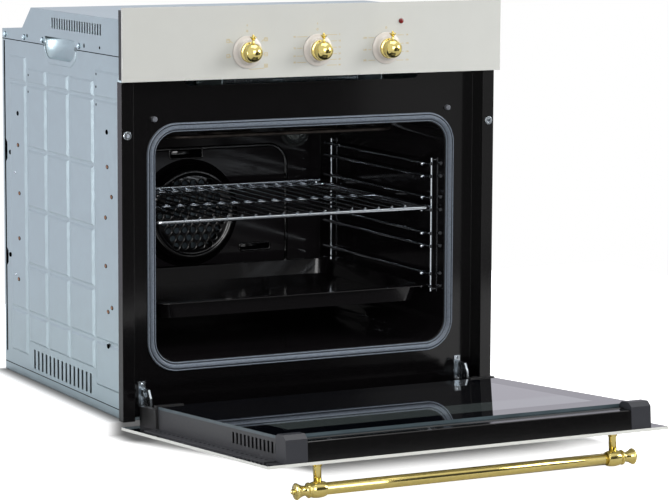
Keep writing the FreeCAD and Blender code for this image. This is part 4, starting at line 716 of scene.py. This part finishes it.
class OVEN_OT_dials(bpy.types.Operator):
    """Prints plain scales round the knobs: function signs, minutes and degrees"""
    bl_idname = "oven.dials"
    bl_label = "Dials"

    # places are rightwards and upwards from a knob's middle, in millimetres
    # signs: place, heights of the bars in them, and the two ends of their leader
    signs = (
        ((-29, 16), (1.0,), ((-26.4, 16), (-22, 13))),
        ((-29, -5), (-1.0,), ((-26.4, -5), (-24.5, -6))),
        ((29, 17), (-1.0, 1.0), ((26.4, 17), (22, 14))),
        ((29, -4), (0,), ((26.4, -4), (24.5, -4))),
        ((29, -20), (-1.0, 0, 1.0), ((26.4, -23.5), (3, -24.5))),
    )
    # scales: room for a numeral, the least reach of a leader, and the numerals
    scales = {
        "timer": (4.2, 15, (
            (-36, 19, "90"), (-36, 3, "75"), (-36, -8, "60"), (-36, -17, "50"), (35, 21, "5"), (35, 12, "10"),
            (35, 3, "15"), (35, -6, "20"), (35, -14, "30"), (35, -22, "40"))),
        "thermostat": (5.6, 16, (
            (-34, 15, "250"), (-34, -2, "230"), (-34, -17, "200"), (34, 18, "50"), (34, 6, "100"),
            (34, -6, "130"), (34, -18, "170"))),
    }

    def execute(self, context):
        detail = context.scene.oven_detail
        build = bmesh.new()
        ink = Vector((0, -0.1 * MM, 0))

        def line(x, z, *ends):
            """A printed line between two points, in millimetres from a knob's middle."""
            a, b = (Vector((x + u * MM, FRONT, z + w * MM)) for u, w in ends)
            side = (b - a).cross(Vector((0, 1, 0))).normalized() * detail.stroke / 2
            block(build, (a - side, b - side, b + side, a + side), ink)

        def outline(x, z, points):
            """A closed printed outline."""
            for one, two in zip(points, points[1:] + points[:1]):
                line(x, z, one, two)

        def numeral(x, z, u, w, text):
            """A printed number."""
            curve = bpy.data.curves.new("numeral", "FONT")
            curve.body = text
            curve.size = detail.numeral
            curve.align_x = "CENTER"
            curve.align_y = "CENTER"
            curve.extrude = 0.05 * MM
            holder = bpy.data.objects.new("numeral", curve)
            mesh = bpy.data.meshes.new_from_object(holder)
            spot = Matrix.Translation((x + u * MM, FRONT - 0.05 * MM, z + w * MM))
            mesh.transform(spot @ Matrix.Rotation(math.pi / 2, 4, "X"))
            build.from_mesh(mesh)
            bpy.data.objects.remove(holder)
            bpy.data.meshes.remove(mesh)

        places = {name: (middle(f"{name}_spindle").x, middle(f"{name}_spindle").z) for name in KNOBS}
        mark, mark_rise, zero_rise = 1.3, 29, 37
        for spot in places.values():
            outline(*spot, oval(0, mark_rise, mark, mark, 12))
        for name in ("function", "timer"):
            numeral(*places[name], 0, zero_rise, "0")
        half, bar = 2.3, 1.3
        for (u, w), bars, leader in self.signs:
            spot = places["function"]
            outline(*spot, [(u - half, w - half), (u + half, w - half), (u + half, w + half), (u - half, w + half)])
            for level in bars:
                line(*spot, (u - bar, w + level), (u + bar, w + level))
            line(*spot, *leader)
        # leaders run from the numerals to just outside the skirt
        skirt, spread = 24.2, 2.6
        for name, (room, least, marks) in self.scales.items():
            for u, w, text in marks:
                numeral(*places[name], u, w, text)
                reach = max(skirt * math.cos(math.radians(w * spread)), least)
                line(*places[name], (u - math.copysign(room, u), w), (math.copysign(reach, u), w))
        piece("dial_print", build, "gold_print", "case", slot="brass", smooth=False)
        return {"FINISHED"}


class OVEN_OT_panel_marks(bpy.types.Operator):
    """Adds screws, rivets, slots, seams and gaps to the case, and rivets to the hinge plates"""
    bl_idname = "oven.panel_marks"
    bl_label = "Panel marks"

    # places on a side panel, rearwards from the middle of the case and upwards, in millimetres
    small_slots = ((169, 353), (165, 280), (167, 211), (171, 148), (-182.5, 354), (-197.5, 313), (-175, 281.5),
                   (-175, 212.5), (-183, 148), (-197, 155.5))
    rivets = ((183, 310), (183.5, 154))
    pins = ((123, 462), (124, 437), (-143.5, 482), (-143, 464), (-143, 439))
    # holes filled with painted shade, as black plates, also have half a length, half a height, how far they stand out,
    # and whether a pressed pad has them
    shaded_holes = ((169, 401, 4.8, 3.6, 0.12, True), (-181.5, 403, 4.8, 3.6, 0.12, True),
               (-182, 98.6, 4.8, 3.6, 0.12, True), (206, 338.8, 4.8, 3.6, 0.8, False),
               (210.5, 180.9, 4.8, 3.6, 0.8, False), (131, 520, 2.6, 2.8, 0.12, False),
               (-95, 519, 2.2, 3.2, 0.12, False), (-153, 519.5, 2.2, 2.2, 0.12, False))
    screws = (224, 143.5, 68.4, -75.3)
    # the gap before the rear panel, with two notches
    gap = ((225.5, 30), (225.5, 163), (219.5, 168), (219.5, 186), (225.5, 190), (225.5, 323), (219.5, 328),
           (219.5, 353), (225.5, 358), (225.5, 508), (230.5, 508), (230.5, 30))
    # the seam under the top housing: its height, and where the hand recess breaks it
    seam, recess_rear, recess_front = 511, 64, -65

    def execute(self, context):
        detail = context.scene.oven_detail
        slot, rivet = detail.small_slot / MM, detail.rivet / MM
        crown = 0.35 * rivet
        dome = [(rivet, 0), *[(rivet * math.cos(a * math.pi / 12), crown * math.sin(a * math.pi / 12))
                              for a in range(1, 6)], (0, crown)]
        pin = [(1.8, 0), (1.8, 0.1), (0, 0.1)]
        low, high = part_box("base_tray")
        rear, front, foot = high.y / MM, low.y / MM, high.z / MM
        low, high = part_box("case_screws")
        head, screw_face, screw_rise = (high.z - low.z) / 2 / MM, high.x, middle("case_screws").z
        cap = eased([(head, -0.6), (head * 0.98, 0.4), (head * 0.8, 1.1), (head * 0.45, 1.4), (head * 0.3, 1.3)], 3)
        cap += [(head * 0.2, 0.6), (0, 0.5)]
        film, shade, thick = 0.12, 0.9, 0.6         # height of a dark film, width of a screw's shade, half a seam
        dark = [(self.gap, SIDE, film)]
        for y0, y1, z in ((front, rear, foot), (self.recess_rear, rear, self.seam),
                          (front, self.recess_front, self.seam)):
            dark.append((((y0, z - thick), (y1, z - thick), (y1, z + thick), (y0, z + thick)), SIDE, film))
        for y, z, long, tall, proud, raised in self.shaded_holes:
            dark.append((oval(y, z, long, tall), PANEL if raised else SIDE, proud))
        # painted shadow: a black ring round each screw head
        for y in self.screws:
            dark.append((oval(y, screw_rise / MM, head + shade, head + shade, 20), SIDE, film))
        # small slots: black plates of painted shade, and over one side of each a copper-brown plate of painted light
        # where the wool behind is lit
        small = {
            "slots": ("gap_shade", 0.1, [oval(y, z, 1.6 * slot, slot) for y, z in self.small_slots]),
            "slot_wool": ("lit_wool", 0.2, [oval(y + 0.3 * slot, z, slot, 0.75 * slot) for y, z in self.small_slots]),
        }

        def plates(build, sign, outlines):
            """Thin plates on one side of the case: outline, face and height of each."""
            for outline, face, proud in outlines:
                block(build, [(sign * face, y * MM, z * MM) for y, z in outline], (sign * proud * MM, 0, 0))

        for name, sign, axis in (("left", -1, "-x"), ("right", 1, "x")):
            for label, places, profile, finish in (("rivets", self.rivets, dome, "plated"),
                                                   ("pin_holes", self.pins, pin, "gap_shade")):
                build = bmesh.new()
                for y, z in places:
                    lathe(build, profile, (sign * PANEL, y * MM, z * MM), axis, 20)
                piece(f"{name}_{label}", build, finish, "case", slot="zinc_bright")
            for label, (finish, proud, outlines) in small.items():
                build = bmesh.new()
                plates(build, sign, [(outline, PANEL, proud) for outline in outlines])
                piece(f"{name}_{label}", build, finish, "case", slot="wool", smooth=False)
            build = bmesh.new()
            # the dark plates: painted shade in the rear gap, the seams and the holes, and a painted shadow round each
            # screw
            plates(build, sign, dark)
            piece(f"{name}_seam", build, "gap_shade", "case", slot="zinc_sheet", smooth=False)
            build = bmesh.new()
            for y in self.screws:
                lathe(build, cap, (sign * screw_face, y * MM, screw_rise), axis, 24)
            piece(f"{name}_screw_caps", build, "screw", "case", slot="zinc_bright")
        low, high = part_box("hinge_receivers")
        hinge, foot, crown = high.x - 5 * MM, low.z + 2 * MM + rivet * MM * 0.3, high.z - 3.4 * MM
        slim = [(radius * 0.8, height) for radius, height in dome]
        build = bmesh.new()
        for sign in (-1, 1):
            for z in (foot, crown):
                lathe(build, slim, (sign * hinge, low.y, z), "-y", 20)
        piece("hinge_rivets", build, "plated", "case", slot="zinc_bright")
        return {"FINISHED"}


class OVEN_OT_grips(bpy.types.Operator):
    """Lines the two hand recesses with a smooth bowl and rolls a lip round them"""
    bl_idname = "oven.grips"
    bl_label = "Hand recesses"

    def execute(self, context):
        # the opening in the side panel, in millimetres, its lower corners' radius and the bowl's depth
        rear, front, foot, crown, corner, deep = 58, -59, 492, 524, 22, 17
        lip_end = 509
        arcs = []
        for y, start in ((rear - corner, 0), (front + corner, -90)):
            for step in range(0, 91, 9):
                a = math.radians(start - step)
                arcs.append((y, foot + corner, math.cos(a), math.sin(a)))
        outline = [(rear, crown), (rear, (crown + lip_end) / 2)]
        outline += [(y + corner * c, z + corner * w) for y, z, c, w in arcs]
        outline += [(front, (crown + lip_end) / 2), (front, crown)]
        top = (rear + front) / 2
        # from the rim to the flat middle of the bowl, and back behind it: share of the way out, and depth
        rounds, wall = 12, 0.5
        shares = [math.cos(math.pi / 2 * i / rounds) for i in range(rounds + 1)]
        near = [(k, deep * (1 - k ** 2.2) ** 0.7) for k in shares]
        bowl = near + [(k, depth + wall) for k, depth in reversed(near)]
        lip = ((-0.4, -0.3), (-0.2, 0.3), (0.8, 0.7), (3.0, 1.0), (5.4, 0.9), (7.6, 0.4), (8.6, -0.3))
        ends = ((rear - corner, lip_end, 1, 0), *arcs, (front + corner, lip_end, -1, 0))
        face = SIDE / MM
        for name, sign in (("left", -1), ("right", 1)):
            build = bmesh.new()
            skin(build, [
                [build.verts.new(Vector((sign * (face - depth), top + (y - top) * k, crown + (z - crown) * k)) * MM)
                 for k, depth in bowl]
                for y, z in outline
            ])
            bmesh.ops.remove_doubles(build, verts=build.verts, dist=0.01 * MM)
            piece(f"{name}_grip_bowl", build, "zinc", "case", slot="zinc_sheet")
            build = bmesh.new()
            skin(build, [
                [build.verts.new(Vector((sign * (face + h), y + (corner + u) * c, z + (corner + u) * w)) * MM)
                 for u, h in lip]
                for y, z, c, w in ends
            ])
            piece(f"{name}_grip_lip", build, "zinc", "case", slot="zinc_sheet")
        return {"FINISHED"}


class OVEN_OT_springs(bpy.types.Operator):
    """Winds the two hinge springs inside the door"""
    bl_idname = "oven.springs"
    bl_label = "Hinge springs"

    def execute(self, context):
        wire = context.scene.oven_detail.spring_wire
        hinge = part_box("hinge_rods")[1].x - 4.4 * MM         # from the middle of the oven to the middle of a rod
        start, end, deep, radius = 59.2 * MM, 192.6 * MM, 16 * MM, 3.7 * MM
        turns, steps, sides = 44, 14, 6
        count = turns * steps
        build = bmesh.new()
        for sign in (-1, 1):
            rings = []
            for i in range(count + 1):
                t = i / count
                a = 2 * math.pi * turns * t
                out = Vector((1, 0, 0)) * math.cos(a) + OUT * math.sin(a)
                centre = on_door(sign * hinge, start + (end - start) * t, deep) + out * radius
                rings.append([build.verts.new(centre + (out * u + ALONG * v) * wire / 2)
                              for u, v in oval(0, 0, 1, 1, sides)])
            skin(build, rings)
        piece("coil_springs", build, "plated", "hinge_rods", "hinge_springs", slot="zinc_bright")
        return {"FINISHED"}


class OVEN_OT_wool(bpy.types.Operator):
    """Wraps the cavity in a tufted wool blanket"""
    bl_idname = "oven.wool"
    bl_label = "Insulation"

    def execute(self, context):
        tuft = context.scene.oven_detail.tuft
        low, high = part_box("insulation_wrap")
        cavity_low, cavity_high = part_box("cavity_box")
        flange, play = 12 * MM, 0.2 * MM
        wall = cavity_high.x - flange
        outer = (Vector((-high.x, 0, low.z)), high, 34 * MM)
        inner = (Vector((-wall, 0, cavity_low.z - play)), Vector((wall, 0, cavity_high.z - flange)), 30 * MM)
        clumps = 28                          # of fibres to a metre
        build = bmesh.new()

        def loop(size, y, sign):
            """One round-cornered ring of the blanket, pressed in where the fibres are thin."""
            ring = []
            for spot, out in round_corners(*size):
                spot = spot + out * size[2] + Vector((0, y, 0))
                hollow = tuft * (0.5 + 0.5 * noise.noise(spot * clumps))
                ring.append(build.verts.new(spot + out * hollow * sign))
            return ring

        steps = 40
        places = [low.y + (high.y - low.y) * i / steps for i in range(steps + 1)]
        rings = [loop(outer, y, -1) for y in places] + [loop(inner, y, 1) for y in reversed(places)]
        skin(build, rings, loop=True)
        piece("wool_blanket", build, "wool", "case", "insulation_wrap", slot="wool")
        return {"FINISHED"}


class OVEN_OT_stage(bpy.types.Operator):
    """Sets the white floor, the screens, the softboxes and the camera"""
    bl_idname = "oven.stage"
    bl_label = "Stage"

    # white screens and a grey flag round the oven: tint, strength, two ends on the plan, foot and crown, in metres
    screens = {
        "rear_screen": ("#DAD8E2", 0.93, (-4, 2.2), (5, 2.2), -0.7, 3),
        "left_screen": ("#CDD4D8", 1.5, (-3.4, -0.6), (-3.4, 2.2), 0.4, 3),
        "right_screen": ("#FFFFFF", 0.8, (0.5, -3.9), (2.4, -2.8), 0.9, 3),
        "front_flag": ("#555555", 0.9, (-0.1, -1.95), (3.2, -1.95), -0.7, 0.9),
        "low_screen": ("#FFFFFF", 0.36, (0.75, -1.5), (1.8, -1.9), GROUND, 0.5),
    }
    # softboxes: place and width, in metres
    softboxes = {
        "key": ((3.0, -2.3, 1.6), 1.4),
        "fill": ((-3.0, 0.45, 0.5), 0.9),
        "top": ((0.2, -0.4, 3.2), 2.4),
        "front": ((-0.7, -4.2, 1.5), 2.2),
    }
    aim = Vector((0, -0.2, 0.25))

    def execute(self, context):
        scene, stage = context.scene, context.scene.oven_stage
        scene.view_settings.view_transform = "Standard"
        self.lay_floor(stage.floor_size / 2)
        self.hang_screens()
        for name, (place, size) in self.softboxes.items():
            light = bpy.data.lights.new(name, "AREA")
            light.energy = getattr(stage, name)
            light.size = size
            lamp = bpy.data.objects.new(name, light)
            lamp.location = place
            lamp.rotation_euler = (self.aim - Vector(place)).to_track_quat("-Z", "Y").to_euler()
            lamp.visible_camera = False
            scene.collection.objects.link(lamp)
        scene.world = self.room()
        self.look(scene, stage.lens)
        return {"FINISHED"}

    def enter(self, name, build, material):
        """Adds a piece of the stage."""
        mesh = finished(build, name, smooth=False)
        made = bpy.data.objects.new(name, mesh)
        bpy.context.scene.collection.objects.link(made)
        mesh.materials.append(material)
        return made

    def board(self):
        """A pale matt board with a painted shadow round the foot of the case; the camera sees it glow white except
        close to the oven, where its soft shadows show.
        """
        # in metal and glass it shows its own pale colour, as the lamps light it
        board, tree = blank("White studio board, matt")
        place = node(tree, "ShaderNodeTexCoord").outputs["Object"]
        apart = node(tree, "ShaderNodeSeparateXYZ", {"Vector": place}).outputs
        lead = node(tree, "ShaderNodeMath", {0: FRONT, 1: apart["Y"]}, operation="SUBTRACT").outputs[0]
        lead = node(tree, "ShaderNodeMath", {0: lead, 1: 0.0}, operation="MAXIMUM").outputs[0]
        # on its left the shadow under the door narrows forwards
        left = node(tree, "ShaderNodeMath", {0: lead, 1: 0.5}, operation="MULTIPLY").outputs[0]
        left = node(tree, "ShaderNodeMath", {0: left, 1: apart["X"]}, operation="SUBTRACT").outputs[0]
        side = node(tree, "ShaderNodeMath", {0: left, 1: apart["X"]}, operation="MAXIMUM").outputs[0]
        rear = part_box("base_tray")[1].y
        foot_lead, door_lead, fade = 40 * MM, FRONT - CAD_BOX[0].y - 110 * MM, 90 * MM
        # how far the floor is from the shadows: first round the foot of the case, for the painted shadow in its
        # colour, then under the door as well, for where its glow drops and the real shadows show
        shadow_free = []
        for ahead in (foot_lead, door_lead):
            away = 0.0
            for value, start, end in ((side, SIDE, SIDE + 44 * MM), (lead, max(ahead - fade, 0), ahead),
                                      (apart["Y"], rear - 10 * MM, rear + 20 * MM)):
                clear = node(tree, "ShaderNodeMapRange", {"Value": value, "From Min": start, "From Max": end},
                             interpolation_type="SMOOTHSTEP").outputs["Result"]
                away = node(tree, "ShaderNodeMath", {0: away, 1: clear}, operation="MAXIMUM").outputs[0]
            shadow_free.append(away)
        seen = node(tree, "ShaderNodeLightPath").outputs["Is Camera Ray"]
        glow = node(tree, "ShaderNodeMapRange", {
            "Value": shadow_free[1], "To Min": 0.1, "To Max": 1.0}).outputs["Result"]
        glow = node(tree, "ShaderNodeMath", {0: glow, 1: seen}, operation="MULTIPLY").outputs[0]
        # painted shadow: the board's colour darkens round the foot of the case
        shader = node(tree, "ShaderNodeBsdfPrincipled", {
            "Base Color": node(tree, "ShaderNodeValToRGB", {"Fac": shadow_free[0]},
                               stops=((0.0, linear("#4C4C4C")), (1.0, linear("#E6E6E6")))).outputs["Color"],
            "Roughness": 0.9, "Specular IOR Level": 0.1,
            "Emission Color": (1, 1, 1, 1), "Emission Strength": glow,
        })
        node(tree, "ShaderNodeOutputMaterial", {"Surface": shader.outputs["BSDF"]})
        return board

    def lay_floor(self, half):
        """Lays the floor, and a low step that carries the case, whose open door hangs below its base."""
        board, around = self.board(), 0.6
        front, rear = CAD_BOX[0].y - around, CAD_BOX[1].y + around
        build = bmesh.new()
        build.faces.new([build.verts.new((x, y, GROUND)) for x, y in (
            (-half, front), (half, front), (half, rear), (-half, rear))])
        self.enter("floor", build, board)
        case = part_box("base_tray")[0]
        front = case.y - 4 * MM
        build = bmesh.new()
        block(build, [(x, y, GROUND) for x, y in ((-half, front), (half, front), (half, rear), (-half, rear))],
              (0, 0, case.z - GROUND))
        self.enter("step", build, board)

    def hang_screens(self):
        """Hangs the screens and the flag, which only the oven's reflections show."""
        for name, (tint, strength, (x0, y0), (x1, y1), foot, crown) in self.screens.items():
            # cloth lit from behind: even, with a faint drift over about 2 m
            cloth, tree = blank("Woven cloth, lit from behind")
            drift = node(tree, "ShaderNodeTexNoise", {"Scale": 0.5}).outputs["Fac"]
            glow = node(tree, "ShaderNodeEmission", {
                "Color": node(tree, "ShaderNodeValToRGB", {"Fac": drift},
                              stops=((0.3, shaded(linear(tint), 0.97)), (0.7, linear(tint)))).outputs["Color"],
                "Strength": strength,
            })
            node(tree, "ShaderNodeOutputMaterial", {"Surface": glow.outputs["Emission"]})
            build = bmesh.new()
            build.faces.new([build.verts.new(corner) for corner in (
                (x0, y0, foot), (x1, y1, foot), (x1, y1, crown), (x0, y0, crown))])
            made = self.enter(name, build, cloth)
            made.visible_camera = False
            made.visible_shadow = False

    def room(self):
        """A room that is dim as a light, and white where it is seen, mirrored or seen through glass."""
        world = bpy.data.worlds.new("room")
        world.use_nodes = True
        tree = world.node_tree
        tree.nodes.clear()
        rays = node(tree, "ShaderNodeLightPath").outputs
        seen = rays["Is Camera Ray"]
        for kind in ("Is Glossy Ray", "Is Transmission Ray"):
            seen = node(tree, "ShaderNodeMath", {0: seen, 1: rays[kind]}, operation="MAXIMUM").outputs[0]
        dim = node(tree, "ShaderNodeBackground", {"Color": (*linear("#908E8E"), 1), "Strength": 0.34})
        white = node(tree, "ShaderNodeBackground", {"Color": (1, 1, 1, 1), "Strength": 1.0})
        both = node(tree, "ShaderNodeMixShader", {0: seen, 1: dim.outputs[0], 2: white.outputs[0]})
        node(tree, "ShaderNodeOutputWorld", {"Surface": both.outputs[0]})
        return world

    def look(self, scene, lens):
        """Stands the camera where the photograph was taken."""
        place = Vector((-1.8350, -3.9473, 0.7921))
        turn, dip, roll = 0.4701, 0.1357, 0.0042         # radians to the right, downwards and about the line of sight
        ahead = Vector((math.sin(turn) * math.cos(dip), math.cos(turn) * math.cos(dip), -math.sin(dip)))
        right = Vector((math.cos(turn), -math.sin(turn), 0))
        up = right.cross(ahead)
        right, up = (right * math.cos(roll) + up * math.sin(roll), up * math.cos(roll) - right * math.sin(roll))
        view = bpy.data.cameras.new("camera")
        view.lens = lens
        view.sensor_width = 36
        view.sensor_fit = "HORIZONTAL"
        camera = bpy.data.objects.new("camera", view)
        camera.matrix_world = Matrix.Translation(place) @ Matrix((right, up, -ahead)).transposed().to_4x4()
        scene.collection.objects.link(camera)
        scene.camera = camera


class OVEN_PT_panel(bpy.types.Panel):
    """Lists the oven's settings and steps in the sidebar"""
    bl_idname = "OVEN_PT_panel"
    bl_label = "Oven"
    bl_space_type = "VIEW_3D"
    bl_region_type = "UI"
    bl_category = "Oven"

    def draw(self, context):
        for group in (context.scene.oven_paint, context.scene.oven_detail, context.scene.oven_stage):
            for name in group.__annotations__:
                self.layout.prop(group, name)
        for step in STEPS:
            self.layout.operator(step.bl_idname)


STEPS = (
    OVEN_OT_finishes, OVEN_OT_knobs, OVEN_OT_handle, OVEN_OT_seal, OVEN_OT_rear_wall, OVEN_OT_dials,
    OVEN_OT_panel_marks, OVEN_OT_grips, OVEN_OT_springs, OVEN_OT_wool, OVEN_OT_stage,
)
GROUPS = {"oven_paint": OvenPaint, "oven_detail": OvenDetail, "oven_stage": OvenStage}


def register():
    """Makes the settings, steps and panel known."""
    for kind in (*GROUPS.values(), *STEPS, OVEN_PT_panel):
        bpy.utils.register_class(kind)
    for name, group in GROUPS.items():
        setattr(bpy.types.Scene, name, bpy.props.PointerProperty(type=group))


def unregister():
    """Takes them away again."""
    for name in GROUPS:
        delattr(bpy.types.Scene, name)
    for kind in reversed((*GROUPS.values(), *STEPS, OVEN_PT_panel)):
        bpy.utils.unregister_class(kind)


def main():
    """Runs every step in order."""
    register()
    for step in STEPS:
        space, name = step.bl_idname.split(".")
        getattr(getattr(bpy.ops, space), name)()


if __name__ == "__main__":
    main()
